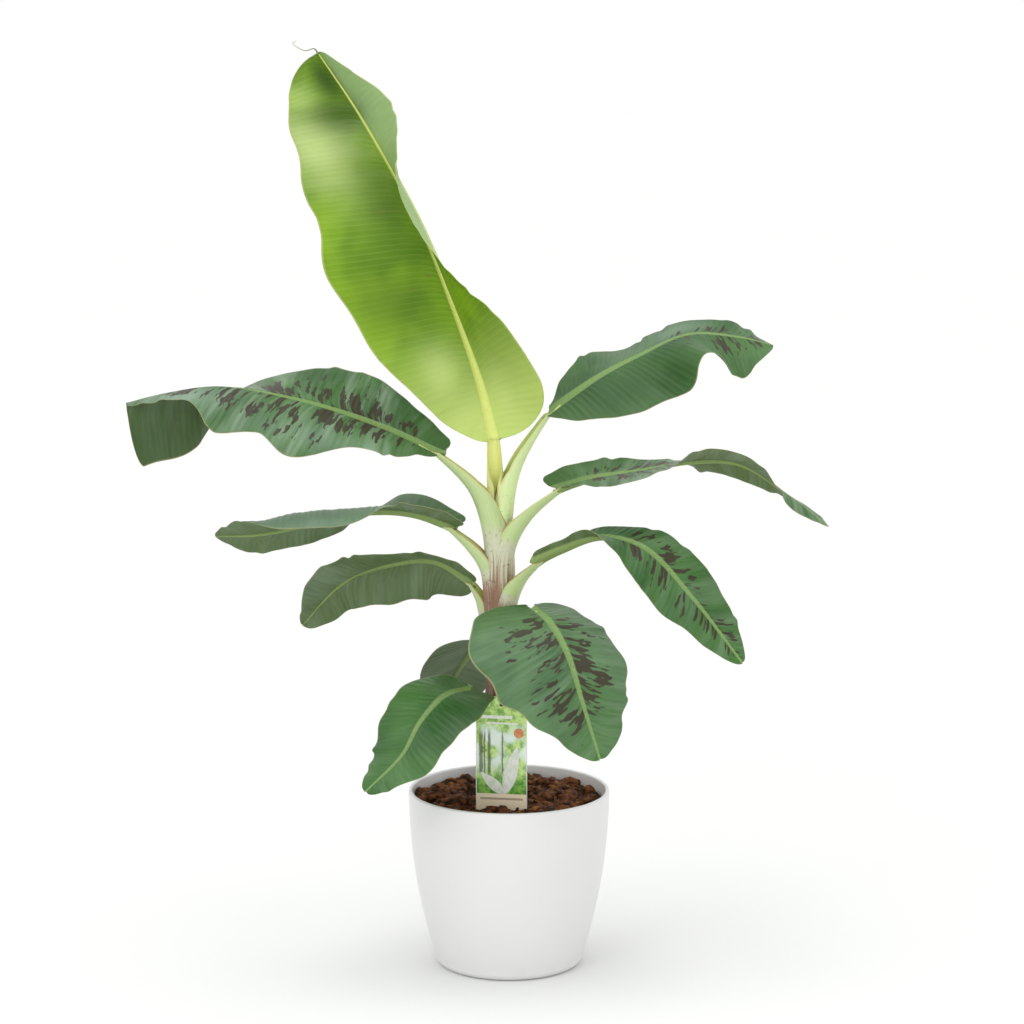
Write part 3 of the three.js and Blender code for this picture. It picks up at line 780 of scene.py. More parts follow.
def leafFinish(name, leaf, number):
    look = leafLooks[leaf.get("look", "grown")]
    constants = {"IOR": 1.45, "Coat Roughness": 0.35, "Specular IOR Level": leaf.get("shine", 0.33)}
    material, tree, shader = newFinish("leafFinish_" + name, constants)
    along, across, share = attribute(tree, "along"), attribute(tree, "across"), attribute(tree, "share")
    margin, rib, under = attribute(tree, "margin"), attribute(tree, "ribShare"), attribute(tree, "under")
    vein = useGroup(tree, veins, {"Along": along, "Across": across, "Spacing": blade["pleatSpacing"],
                                  "Sweep": 0.009, "Wander": 0.003})
    uneven = useGroup(tree, mottle, {"Scale": 14.0, "Seed": float(number)})
    slow, fast = uneven["Slow"], uneven["Fast"]
    # upper face
    face = blend(tree, stepMask(tree, slow, 0.35, 0.68), look["face"], look["faceAway"])
    face = tinted(tree, face, vein["Lines"], look["lines"], look["line"])
    face = tinted(tree, face, vein["Fine"], 0.07, look["line"])
    streak = noiseOf(tree, stretched(tree, vein["Place"], 60.0, across, 9.0, number * 2.3), 1.0, 3.0, 0.6)
    # a pale dusty bloom in streaks along the veins, which on the upper face also stands in for painted sheen
    bloomAndSheenStart, bloomAndSheenEnd, bloomAndSheenAmount = leaf.get("bloomAndSheen", (0.0, 1.0, 0.2))
    bloomAndSheen = times(tree, stepMask(tree, share, bloomAndSheenStart, bloomAndSheenStart + 0.15),
                  stepMask(tree, share, bloomAndSheenEnd + 0.12, bloomAndSheenEnd))
    bloomAndSheen = times(tree, times(tree, bloomAndSheen, stepMask(tree, streak, 0.38, 0.72)), bloomAndSheenAmount)
    face = blend(tree, bloomAndSheen, face, look["bloomAndSheen"])
    face = blend(tree, attribute(tree, "pale"), face, look["under"])
    # painted light and painted shade: soft patches that lighten the face where light falls on it and darken
    # it where shade falls
    face = blend(tree, attribute(tree, "paintedLight"), face, look["paintedLightColour"])
    face = blend(tree, attribute(tree, "paintedShade"), face, look["paintedShade"])
    nearBase = stepMask(tree, share, leaf.get("paleTo", 0.25), 0.0)
    face = tinted(tree, face, nearBase, 0.8, look["base"])
    start, end = leaf.get("marked", (0.08, 0.85))
    zone = times(tree, stepMask(tree, margin, leaf.get("markReach", 0.85), 0.3),
                 times(tree, stepMask(tree, share, start, start + 0.12),
                       stepMask(tree, share, end + 0.1, end)))
    marks = useGroup(tree, blotches, {"Along": vein["Place"], "Across": across, "Seed": number * 3.7,
                                      "Zone": zone, "Amount": leaf.get("blotch", 0.45)})["Mask"]
    face = tinted(tree, face, marks, leaf.get("blotchDepth", 0.85), look["blotch"])
    ribMask = stepMask(tree, rib, leaf.get("ribReach", 1.25), 0.75)
    face = tinted(tree, face, ribMask, 0.85, look["rib"])
    # underside
    back = blend(tree, times(tree, vein["Lines"], 0.14), look["under"], look["underRib"])
    # pale streaks on the underside: its dusty bloom, partly a painted sheen
    back = tinted(tree, back, stepMask(tree, streak, 0.4, 0.75), 0.3, look["bloomAndSheen"])
    back = tinted(tree, back, slow, 0.35, look["face"])
    # the same painted shade and painted light on the underside
    back = blend(tree, attribute(tree, "paintedShade"), back, look["paintedShade"])
    back = tinted(tree, back, attribute(tree, "paintedLight"), 0.5, look["paintedLightColour"])
    back = tinted(tree, back, marks, 0.12, look["blotch"])
    back = blend(tree, stepMask(tree, rib, 1.1, 0.85), back, look["underRib"])
    skin = blend(tree, under, face, back)
    rim = stepMask(tree, margin, 0.975, 0.995)
    skin = tinted(tree, skin, rim, 0.7, look["margin"])
    gloss = plus(tree, ranged(tree, fast, leaf.get("gloss", 0.34), leaf.get("gloss", 0.34) + 0.16),
                  times(tree, under, 0.14))
    smallRelief = plus(tree, vein["Height"], times(tree, fast, 0.35))
    feed(tree, shader, {
        "Base Color": skin, "Roughness": gloss, "Normal": bumpOf(tree, smallRelief, 0.55, 0.0006),
        "Coat Weight": times(tree, less(tree, 1.0, under), 0.06),
    })
    return material


for number, (name, leaf) in enumerate(leaves.items()):
    piece = bladePiece(name, leaf, leafFinish(name, leaf, number))
    finishPiece(piece, "young_leaf" if name == "top" else "leaf", "leaf_" + name)
print("blades made")


# the sheaths and stalks: each wraps the stem, opens into a channel and runs into its blade's midrib
sheath = {
    "rows": 120, "columns": 23,
    "drop": 0.105,          # how far below its parting a sheath starts
    "wrap": 118,            # degrees from a stalk's back to its edge
    "turnPerMetre": 1700,   # degrees that a sheath's edges wrap further round the stem for each metre down
    "girth": 12.4, "stalkTo": 6.6,   # a stalk's radius at the stem and at its blade, mm
    "wall": 2.6 * mm, "edgeWall": 0.5 * mm,
    "intoBlade": 0.07,      # share of the midrib that the stalk runs on under
    "fresh": {"top": linear(236, 238, 158), "upper_right": linear(208, 226, 162)},   # paler than the others
}
partings = {
    "top": 0.560, "upper_right": 0.546, "upper_left": 0.533, "mid_right": 0.500, "mid_left": 0.450,
    "low_right": 0.432, "low_left": 0.398, "front": 0.352, "back": 0.328, "front_left": 0.292,
}
ageOrder = sorted(partings, key=partings.get, reverse=True)


def hugRadius(height, age):
    heights = [partings[key] for key in ageOrder][::-1]
    ageHere = np.interp(height, heights, np.arange(len(heights))[::-1])
    return stemRadius(height) + stem["layer"] * (age - ageHere)


def stalkFinish(name):
    young = name == "top"
    material, tree, shader = newFinish("stalkFinish_" + name, {"IOR": 1.42, "Coat Roughness": 0.3})
    spot = addNode(tree, "ShaderNodeTexCoord").outputs["Object"]
    height = partsOf(tree, spot)["Z"]
    along, edge, inner = attribute(tree, "along"), attribute(tree, "edge"), attribute(tree, "inner")
    around = attribute(tree, "around")
    uneven = useGroup(tree, mottle, {"Scale": 26.0, "Seed": partings[name] * 40})
    strand = noiseOf(tree, stretched(tree, along, 12.0, around, 9.0, 2.0), 1.0, 3.0)
    level = plus(tree, height, times(tree, less(tree, strand, 0.5), 0.1))
    level = plus(tree, level, times(tree, attribute(tree, "parted"), 0.16))
    skin = blend(tree, stepMask(tree, level, 0.24, 0.42), linear(72, 40, 28), linear(146, 112, 90))
    skin = blend(tree, stepMask(tree, level, 0.412, 0.462), skin, linear(198, 200, 172))
    fresh = sheath["fresh"].get(name, linear(184, 204, 142))
    skin = blend(tree, stepMask(tree, level, 0.468, 0.53 if young else 0.51), skin, fresh)
    skin = tinted(tree, skin, stepMask(tree, strand, 0.55, 0.75), 0.6, linear(206, 212, 186))
    tint = times(tree, stepMask(tree, uneven["Fast"], 0.55, 0.75), stepMask(tree, level, 0.56, 0.44))
    skin = tinted(tree, skin, tint, 0.55, linear(128, 74, 62))
    innerTint = linear(222, 228, 132) if young else linear(178, 200, 96)
    skin = tinted(tree, skin, inner, 0.8, innerTint)
    rim = stepMask(tree, edge, 0.86, 0.97)
    rimTint = blend(tree, stepMask(tree, height, 0.44, 0.53), linear(176, 128, 96), linear(206, 200, 140))
    skin = tinted(tree, skin, rim, 0.85, rimTint)
    ridges = maths(tree, "SINE", times(tree, around, 46.0))
    relief = plus(tree, times(tree, ridges, 0.25), strand)
    feed(tree, shader, {
        "Base Color": skin, "Roughness": ranged(tree, uneven["Slow"], 0.34, 0.55),
        "Normal": bumpOf(tree, relief, 0.45, 0.0007),
    })
    return material


def sheathPiece(name, leaf, age):
    parting = partings[name]
    foot = max(parting - sheath["drop"], stem["foot"] - 0.004)
    stalk = np.array(leaf["stalk"]) * mm
    rib = PathThrough(np.array(leaf["rib"]) * mm)
    axis = [stemAxis(z) for z in np.linspace(foot, stalk[0, 2], 3)[:-1]] if foot < stalk[0, 2] - 0.02 else []
    runOn = rib.at(np.array([0.25, 0.6, 1.0]) * sheath["intoBlade"])
    path = PathThrough(np.vstack([*[[a] for a in axis], stalk, runOn]))
    stalkLength = PathThrough(stalk).length
    endLength = PathThrough(np.vstack([stalk[-1:], runOn])).length
    share = np.linspace(0, 1, sheath["rows"])
    if not axis:
        share = np.linspace(max(0, (foot - stalk[0, 2]) / path.length), 1, sheath["rows"])
    centre, along = path.at(share), path.along(share)
    heading = math.radians(leaf["heading"])
    side = np.array([math.sin(heading), -math.cos(heading), 0.0])
    side = unit(side - dot(along, side) * along)
    outward = np.cross(along, side) * -1
    wayOut = np.array([math.cos(heading), math.sin(heading), -0.6])
    outward = np.where(dot(outward, wayOut) < 0, -outward, outward)
    fromEnd = (1 - share) * path.length
    grown = np.clip((fromEnd - endLength) / stalkLength, 0, 1)
    girth = leaf.get("girth", sheath["girth"])
    radius = (sheath["stalkTo"] + (girth - sheath["stalkTo"]) * grown ** 0.7) * mm
    radius = radius * (0.6 + 0.4 * smoothStep(0, endLength, fromEnd))
    height = centre[:, 2]
    below = np.maximum(parting - height, 0) * (share < 0.9)
    wrap = np.radians(np.minimum(sheath["wrap"] + below * sheath["turnPerMetre"], 168))
    wrap = wrap * (1 - 0.28 * smoothStep(0.4, 0.0, grown))
    wrap = np.where(fromEnd < endLength, wrap * (0.3 + 0.7 * fromEnd / endLength), wrap)
    v = np.linspace(-1, 1, sheath["columns"])
    v = np.sign(v) * np.abs(v) ** 0.85
    turn = wrap[:, None] * v
    ray = outward[:, None] * np.cos(turn)[..., None] + side[:, None] * np.sin(turn)[..., None]
    wall = sheath["edgeWall"] + (sheath["wall"] - sheath["edgeWall"]) * np.sqrt(np.maximum(1 - v**2, 0))
    faces = []
    for inset in (0 * wall, wall):
        points = centre[:, None] + ray * np.maximum(radius[:, None] - inset, 0.4 * mm)[..., None]
        axisHere = stemAxis(points[..., 2])
        offset = points - axisHere
        offset[..., 2] = 0
        distance = np.linalg.norm(offset, axis=-1)
        least = hugRadius(points[..., 2], age) - inset * 0.35 - 0.25 * mm * (inset > 0)
        least = least * (stemRadius(points[..., 2]) > 0.5 * mm)
        push = np.maximum(least - distance, 0) / np.maximum(distance, 1e-6)
        faces.append(points + offset * push[..., None])
    outer, inner = faces
    one = np.ones_like(turn)
    parted = smoothStep(0.008, 0.026, np.linalg.norm((centre - stemAxis(centre[:, 2]))[:, :2], axis=1))
    parted = np.maximum(parted, smoothStep(0.53, 0.57, centre[:, 2]))[:, None] * one
    values = {
        "parted": (parted, parted),
        "along": ((share * path.length)[:, None] * one,) * 2, "around": (turn, turn),
        "edge": (np.abs(v) * one, np.abs(v) * one), "inner": (0 * one, one),
    }
    return shellPiece("sheath_" + name, outer, inner, values)


for name, leaf in leaves.items():
    piece = sheathPiece(name, leaf, ageOrder.index(name))
    piece.data.materials.append(stalkFinish(name))
    finishPiece(piece, "young_stalk" if name == "top" else "stalk", "stalk_" + name)


# the core that shows at the foot and in the gaps between sheaths
def stemCore():
    heights = np.linspace(stem["foot"] - 0.004, 0.536, 90)
    turn = np.linspace(0, 2 * math.pi, 48, endpoint=False)
    taper = 2.5 * mm * smoothStep(0.45, 0.52, heights)
    profile = np.maximum(stemRadius(heights) - 1.1 * mm - taper, 0.8 * mm)
    profile[[0, -1]] = 0
    rings = []
    for z, r in zip(heights, profile):
        ring = r * (1 + 0.025 * np.sin(turn * 5 + z * 30) + 0.012 * np.sin(turn * 17 + z * 70))
        rings.append(stemAxis(z) + np.stack([ring * np.cos(turn), ring * np.sin(turn), 0 * turn], -1))
    rings = np.array(rings)
    return roundPiece("stemCore", np.stack([profile, heights], -1), len(turn), shift=lambda _: rings)


core = stemCore()
core.data.materials.append(stalkFinish("low_left"))
finishPiece(core, "stem", "stem")
print("sheaths and stem made")


# the pot
pot = {
    "height": 0.195, "rim": 0.110, "flare": 0.031, "wall": 4.2 * mm, "lip": 2.1 * mm, "floor": 0.006,
    "footRound": 0.009, "footRise": 1.2 * mm, "sides": 160,
}


def potRadius(height):
    return pot["rim"] - pot["flare"] * (1 - height / pot["height"]) ** 2


def potPiece():
    footRadius = potRadius(pot["footRound"])
    foot = arcPoints(footRadius - pot["footRound"], pot["footRound"], pot["footRound"], -90, 0, 9)
    ring = footRadius - pot["footRound"] * 1.9
    underside = [(0, pot["footRise"]), (ring - 4 * mm, pot["footRise"]),
                 (ring - 1.5 * mm, pot["footRise"] * 0.6), (ring, 0)]
    heights = np.linspace(pot["footRound"], pot["height"] - pot["lip"], 34)[1:]
    outside = [(potRadius(z), z) for z in heights]
    lip = pot["lip"]
    rim = arcPoints(potRadius(pot["height"]) - lip, pot["height"] - lip, lip, 0, 180, 13)[1:-1]
    inside = [(potRadius(z) - pot["wall"], z) for z in heights[::-1]]
    bottom = [(footRadius - 12 * mm, pot["floor"] + 2 * mm), (footRadius - 20 * mm, pot["floor"]),
              (0, pot["floor"])]
    return roundPiece("potShell", underside + foot + outside + rim + inside + bottom, pot["sides"])


def potFinish():
    constants = {"IOR": 1.48, "Coat Roughness": 0.25, "Coat Weight": 0.1}
    material, tree, shader = newFinish("potFinish", constants)
    uneven = useGroup(tree, mottle, {"Scale": 9.0, "Seed": 3.0})
    spot = addNode(tree, "ShaderNodeTexCoord").outputs["Object"]
    grain = noiseOf(tree, spot, 900.0, 2.0)
    height = partsOf(tree, spot)["Z"]
    shade = blend(tree, uneven["Slow"], linear(220, 220, 220), linear(226, 226, 225))
    inside = attribute(tree, "inside")
    # the inside wall is painted a brighter white than the outside, a painted lift against the shade that
    # falls inside the pot
    shade = blend(tree, inside, shade, linear(248, 250, 250))
    # darker in patches towards the pot's foot
    footPatches = times(tree, stepMask(tree, height, 0.03, 0.0), stepMask(tree, uneven["Fast"], 0.4, 0.7))
    shade = tinted(tree, shade, footPatches, 0.18, linear(205, 202, 196))
    level = plus(tree, height, times(tree, uneven["Fast"], 0.006))
    soiled = times(tree, inside, stepMask(tree, level, 0.186, 0.181))
    shade = tinted(tree, shade, soiled, 0.7, linear(150, 136, 122))
    feed(tree, shader, {
        "Base Color": shade, "Roughness": ranged(tree, uneven["Fast"], 0.3, 0.42),
        "Normal": bumpOf(tree, grain, 0.12, 0.0002),
    })
    return material


potShell = potPiece()
places = np.array([v.co for v in potShell.data.vertices])
reach = np.hypot(places[:, 0], places[:, 1])
isInside = (reach < potRadius(places[:, 2]) - 0.6 * pot["wall"]) & (places[:, 2] > pot["floor"] - 1e-4)
layer = potShell.data.attributes.new("inside", "FLOAT", "POINT")
layer.data.foreach_set("value", isInside.astype(np.float32))
potShell.data.materials.append(potFinish())
finishPiece(potShell, "pot", "pot")
print("pot made")


# the soil: an uneven bed, with crumbs, bark chips and fibres strewn over it
soil = {
    "level": 0.1805, "bottom": 0.06, "sides": 200, "rings": 62, "lump": 15 * mm, "mound": 4 * mm,
    "gap": 0.3 * mm, "strewTo": 0.1015,   # the gap to the pot's wall, and the radius that bits are strewn to
    "crumbs": {"density": 52000, "size": 1.3 * mm, "flat": 0.8, "detail": 2, "seed": 4},
    "chips": {"density": 9000, "size": 4.6 * mm, "flat": 0.3, "detail": 1, "seed": 11},
    "clods": {"density": 5200, "size": 6.4 * mm, "flat": 0.75, "detail": 2, "seed": 23},
    "fibres": {"density": 2600, "size": 11 * mm, "seed": 31},
}


def soilBed():
    wallRadius = potRadius(soil["level"]) - pot["wall"] - soil["gap"]
    radii = np.linspace(0, wallRadius, soil["rings"])
    depths = np.linspace(soil["level"] - 0.01, soil["bottom"], 6)
    skirt = [(potRadius(z) - pot["wall"] - soil["gap"], z) for z in depths]
    profile = [(r, soil["level"]) for r in radii] + skirt + [(0, soil["bottom"])]
    def lumpy(rings):
        for i in range(soil["rings"]):
            for j in range(rings.shape[1]):
                x, y = rings[i, j, :2]
                slow = noise.noise(Vector((x * 24, y * 24, 1.3)))
                quick = noise.noise(Vector((x * 75, y * 75, 5.1)))
                fine = noise.noise(Vector((x * 230, y * 230, 9.7)))
                hold = 1 - smoothStep(0.96, 1.0, radii[i] / wallRadius) * 0.6
                mound = soil["mound"] * math.exp(-((x - stem["axisX"][0]) ** 2 + y**2) / 0.0014)
                rings[i, j, 2] += soil["lump"] * hold * (0.55 * slow + 0.33 * quick + 0.16 * fine) + mound
        return rings
    return roundPiece("soilBed", profile, soil["sides"], shift=lumpy)


def pointsOver(tree, given):
    made = addNode(tree, "GeometryNodeDistributePointsOnFaces",
                   {"Mesh": given["Geometry"], "Density": given["Density"], "Seed": given["Seed"]})
    return made.outputs["Points"]


# any turn about the upright, and a tilt of up to some radians each way
def randomTurn(tree, tilt, seed):
    limits = {"Min": (-tilt, -tilt, 0.0), "Max": (tilt, tilt, 6.283), "Seed": seed}
    return addNode(tree, "FunctionNodeRandomValue", limits, data_type="FLOAT_VECTOR").outputs[0]


def randomShare(tree, low, high, seed):
    limits = {2: low, 3: high, "Seed": seed}
    return addNode(tree, "FunctionNodeRandomValue", limits, data_type="FLOAT").outputs[1]


def buildStrew():
    # strews uneven lumps over a surface, each turned and sized at random
    tree, given, result = newGroup(
        "strew",
        [("Geometry", "g"), ("Density", "f"), ("Size", "f"), ("Flat", "f"), ("Detail", "i"), ("Seed", "i"),
         ("Finish", "m")],
        [("Geometry", "g")], "GeometryNodeTree")
    spots = pointsOver(tree, given)
    lump = addNode(tree, "GeometryNodeMeshIcoSphere",
                   {"Radius": given["Size"], "Subdivisions": given["Detail"]})
    place = addNode(tree, "GeometryNodeInputPosition").outputs[0]
    rough = addNode(tree, "ShaderNodeTexNoise", {"Vector": place, "Scale": 420.0, "Detail": 1.0})
    centred = vectorMaths(tree, "SUBTRACT", {0: rough.outputs["Color"], 1: (0.5, 0.5, 0.5)})
    push = vectorMaths(tree, "SCALE", {0: centred, "Scale": times(tree, given["Size"], 1.5)})
    uneven = addNode(tree, "GeometryNodeSetPosition", {"Geometry": lump.outputs["Mesh"], "Offset": push})
    turn = randomTurn(tree, 0.5, given["Seed"])
    amount = randomShare(tree, 0.35, 1.35, given["Seed"])
    length = randomShare(tree, 0.8, 1.7, 77)
    scale = vectorOf(tree, times(tree, amount, length), amount, times(tree, amount, given["Flat"]))
    strewn = addNode(tree, "GeometryNodeInstanceOnPoints",
                     {"Points": spots, "Instance": uneven.outputs[0],
                      "Rotation": turn, "Scale": scale})
    return closeTree(tree, given, result, strewn)


def buildFibres():
    # strews short bent fibres over a surface
    tree, given, result = newGroup(
        "fibres", [("Geometry", "g"), ("Density", "f"), ("Size", "f"), ("Seed", "i"), ("Finish", "m")],
        [("Geometry", "g")], "GeometryNodeTree")
    spots = pointsOver(tree, given)
    bend = addNode(tree, "GeometryNodeCurveQuadraticBezier", {
        "Resolution": 6, "Start": (-0.5, 0.0, 0.0), "Middle": (0.0, 0.35, 0.5), "End": (0.5, 0.0, 0.05)})
    size = vectorOf(tree, given["Size"], given["Size"], given["Size"])
    sized = addNode(tree, "GeometryNodeTransform", {"Geometry": bend.outputs[0], "Scale": size})
    section = addNode(tree, "GeometryNodeCurvePrimitiveCircle", {"Resolution": 5, "Radius": 0.3 * mm})
    tube = addNode(tree, "GeometryNodeCurveToMesh",
                   {"Curve": sized.outputs[0], "Profile Curve": section.outputs[0], "Fill Caps": True})
    turn = randomTurn(tree, 0.4, given["Seed"])
    amount = randomShare(tree, 0.5, 1.3, given["Seed"])
    strewn = addNode(tree, "GeometryNodeInstanceOnPoints",
                     {"Points": spots, "Instance": tube.outputs[0],
                      "Rotation": turn, "Scale": amount})
    return closeTree(tree, given, result, strewn)


def soilFinish(name, dark, light, scale):
    material, tree, shader = newFinish(name, {"IOR": 1.4})
    uneven = useGroup(tree, mottle, {"Scale": scale, "Seed": 1.5})
    shade = blend(tree, stepMask(tree, uneven["Slow"], 0.38, 0.62), dark, light)
    shade = tinted(tree, shade, stepMask(tree, uneven["Fast"], 0.5, 0.7), 0.4, light)
    feed(tree, shader, {
        "Base Color": shade, "Roughness": ranged(tree, uneven["Fast"], 0.7, 0.95),
        "Normal": bumpOf(tree, uneven["Fast"], 0.7, 0.0012),
    })
    return material


# presses what lies against the pot's wall back inside it
def keepInPot(mesh):
    flat = np.empty(len(mesh.vertices) * 3)
    mesh.vertices.foreach_get("co", flat)
    points = flat.reshape(-1, 3)
    room = potRadius(points[:, 2]) - pot["wall"] - 0.2 * mm
    points[:, :2] *= np.minimum(room / np.maximum(np.hypot(points[:, 0], points[:, 1]), 1e-6), 1)[:, None]
    mesh.vertices.foreach_set("co", points.ravel())


bed = soilBed()
bed.data.materials.append(soilFinish("soilFinish", linear(34, 18, 7), linear(100, 58, 26), 60.0))
strewRings = [(r, soil["level"]) for r in np.linspace(0, soil["strewTo"], 24)]
top = roundPiece("strewOn", strewRings + [(0, soil["level"] - 1 * mm)], 90)
bedHeights = np.array([v.co for v in bed.data.vertices])[: (soil["rings"] - 1) * soil["sides"] + 1]
for vertex in top.data.vertices:
    distances = np.hypot(bedHeights[:, 0] - vertex.co.x, bedHeights[:, 1] - vertex.co.y)
    vertex.co.z = bedHeights[distances.argmin(), 2] - 0.3 * mm
stemFoot = Vector((stem["axisX"][0], stem["axisY"][0]))
keep = [list(p.vertices) for p in top.data.polygons
        if p.normal.z > 0 and (p.center.xy - stemFoot).length > stem["radii"][0]]
strewMesh = bpy.data.meshes.new("strewOn")
strewMesh.from_pydata([v.co[:] for v in top.data.vertices], [], keep)
bpy.data.objects.remove(top)
strewOn = plainObject("strewOn", strewMesh)
strew = buildStrew()
bits = {
    "soilCrumbs": ("crumbs", linear(50, 28, 11), linear(124, 76, 36)),
    "barkChips": ("chips", linear(82, 46, 20), linear(156, 98, 48)),
    "soilClods": ("clods", linear(48, 27, 11), linear(124, 74, 34)),
}
finishPiece(bed, "soil", "soil")
for name, (key, dark, light) in bits.items():
    finish = soilFinish(name + "Finish", dark, light, 130.0)
    mesh = bakeNodes(strewOn, strew, {
        "Density": soil[key]["density"], "Size": soil[key]["size"], "Flat": soil[key]["flat"],
        "Detail": soil[key]["detail"], "Seed": soil[key]["seed"], "Finish": finish}, name)
    keepInPot(mesh)
    mesh.shade_smooth()
    finishPiece(plainObject(name, mesh), "soil")
fibreMesh = bakeNodes(strewOn, buildFibres(), {
    "Density": soil["fibres"]["density"], "Size": soil["fibres"]["size"], "Seed": soil["fibres"]["seed"],
    "Finish": soilFinish("fibreFinish", linear(92, 60, 36), linear(158, 112, 70), 90.0)}, "soilFibres")
keepInPot(fibreMesh)
finishPiece(plainObject("soilFibres", fibreMesh), "soil")
bpy.data.objects.remove(strewOn)
print("soil made")


# the plant label: a thin card with an arched top and a hanging hole, printed with a plain landscape
label = {
    "width": 56 * mm, "bottom": 0.174, "top": 0.308, "arch": 4 * mm, "thick": 1.2 * mm, "corner": 2.5 * mm,
    "hole": 2.4 * mm, "drop": 9 * mm, "turn": -9, "x": -8 * mm, "y": -45 * mm, "print": 0.12 * mm,
}
cardCoat = {"IOR": 1.5, "Coat Weight": 0.35, "Coat Roughness": 0.18}


# a flat outline with its holes, in the card's own across and up, stood up where the card is
def cardPiece(name, outlines, thick, forward):
    curve = bpy.data.curves.new(name, "CURVE")
    curve.dimensions, curve.fill_mode = "2D", "BOTH"
    curve.extrude = thick / 2
    for outline in outlines:
        spline = curve.splines.new("POLY")
        spline.points.add(len(outline) - 1)
        for point, (x, y) in zip(spline.points, outline):
            point.co = (x, y, 0, 1)
        spline.use_cyclic_u = True
    flat = plainObject(name, curve)
    bpy.context.view_layer.update()
    graph = bpy.context.evaluated_depsgraph_get()
    mesh = bpy.data.meshes.new_from_object(flat.evaluated_get(graph), depsgraph=graph)
    bpy.data.objects.remove(flat)
    mesh.materials.clear()
    places = np.array([v.co for v in mesh.vertices])
    turn = math.radians(label["turn"])
    x, y = places[:, 0], forward - places[:, 2]
    stood = np.stack([label["x"] + x * math.cos(turn) - y * math.sin(turn),
                      label["y"] + x * math.sin(turn) + y * math.cos(turn), places[:, 1]], -1)
    mesh.vertices.foreach_set("co", stood.ravel())
    card = mesh.attributes.new("card", "FLOAT_VECTOR", "POINT")
    middle = (label["bottom"] + label["top"]) / 2
    local = np.stack([x / label["width"], (places[:, 1] - middle) / (label["top"] - label["bottom"]),
                      places[:, 2] / mm], -1)
    card.data.foreach_set("vector", local.astype(np.float32).ravel())
    mesh.name = name
    mesh.update()
    return plainObject(name, mesh)


def cardOutline():
    half, corner = label["width"] / 2, label["corner"]
    side = label["top"] - label["arch"]
    points = [(-half, label["bottom"]), (half, label["bottom"])]
    points += arcPoints(half - corner, side - corner, corner, 0, 75, 5)
    across = np.linspace(half - 1.3 * corner, -half + 1.3 * corner, 15)
    points += [(x, side + label["arch"] * (1 - (x / half) ** 2)) for x in across]
    points += arcPoints(-half + corner, side - corner, corner, 105, 180, 5)
    return points


def labelFinish():
    material, tree, shader = newFinish("labelFinish", cardCoat)
    card = attribute(tree, "card", "Vector")
    across, up, depth = [partsOf(tree, card)[k] for k in range(3)]
    leafy = noiseOf(tree, stretched(tree, across, 7.0, up, 15.0), 1.0, 4.0, 0.65)
    glade = noiseOf(tree, stretched(tree, across, 2.6, up, 5.0, 4.0), 1.0, 1.0)
    shade = blend(tree, stepMask(tree, leafy, 0.36, 0.6), linear(112, 170, 62), linear(206, 238, 138))
    clear = times(tree, stepMask(tree, up, -0.2, 0.0), stepMask(tree, up, 0.3, 0.2))
    shade = tinted(tree, shade, stepMask(tree, glade, 0.40, 0.56), clear, linear(236, 252, 240))
    grass = blend(tree, stepMask(tree, leafy, 0.4, 0.6), linear(70, 140, 40), linear(140, 196, 74))
    shade = blend(tree, stepMask(tree, up, -0.12, -0.2), shade, grass)
    sway = times(tree, less(tree, leafy, 0.5), 0.05)
    for place, wide in ((-0.40, 0.045), (-0.24, 0.035), (-0.33, 0.02), (0.02, 0.02)):
        off = maths(tree, "ABSOLUTE", less(tree, plus(tree, across, sway), place))
        trunk = times(tree, stepMask(tree, off, wide, wide * 0.6),
                      times(tree, stepMask(tree, up, -0.16, -0.12), stepMask(tree, up, 0.26, 0.16)))
        shade = tinted(tree, shade, trunk, 0.8, linear(70, 76, 52))
    shade = blend(tree, stepMask(tree, up, -0.300, -0.306), shade, linear(255, 238, 208))
    stripe = stepMask(tree, maths(tree, "ABSOLUTE", plus(tree, up, 0.345)), 0.010, 0.007)
    stripe = times(tree, stripe, stepMask(tree, maths(tree, "ABSOLUTE", across), 0.42, 0.41))
    shade = tinted(tree, shade, stripe, 0.6, linear(120, 96, 68))
    border = maths(tree, "MAXIMUM", stepMask(tree, maths(tree, "ABSOLUTE", across), 0.484, 0.488),
                   stepMask(tree, maths(tree, "ABSOLUTE", depth), 0.45, 0.3))
    front = stepMask(tree, depth, 0.3, 0.5)
    shade = blend(tree, maths(tree, "MAXIMUM", border, less(tree, 1.0, front)), shade,
                  linear(236, 238, 230))
    feed(tree, shader, {
        "Base Color": shade, "Roughness": ranged(tree, leafy, 0.3, 0.42),
        "Normal": bumpOf(tree, leafy, 0.08, 0.0002),
    })
    return material


def printFinish(name, first, second):
    material, tree, shader = newFinish(name, cardCoat)
    card = attribute(tree, "card", "Vector")
    flow = noiseOf(tree, card, 16.0, 2.0)
    feed(tree, shader, {"Base Color": blend(tree, stepMask(tree, flow, 0.4, 0.6), first, second),
                        "Roughness": ranged(tree, flow, 0.3, 0.4)})
    return material


# a plain pointed leaf outline from its foot, leaning by some degrees
def leafOutline(x, y, length, width, lean):
    share = np.linspace(0, 1, 13)
    half = width / 2 * np.sin(math.pi * share**0.8) ** 0.9
    rows = list(zip(half, length * share)) + list(zip(-half[-2:0:-1], length * share[-2:0:-1]))
    turn = math.radians(lean)
    return [(x + a * math.cos(turn) - b * math.sin(turn), y + a * math.sin(turn) + b * math.cos(turn))
            for a, b in rows]


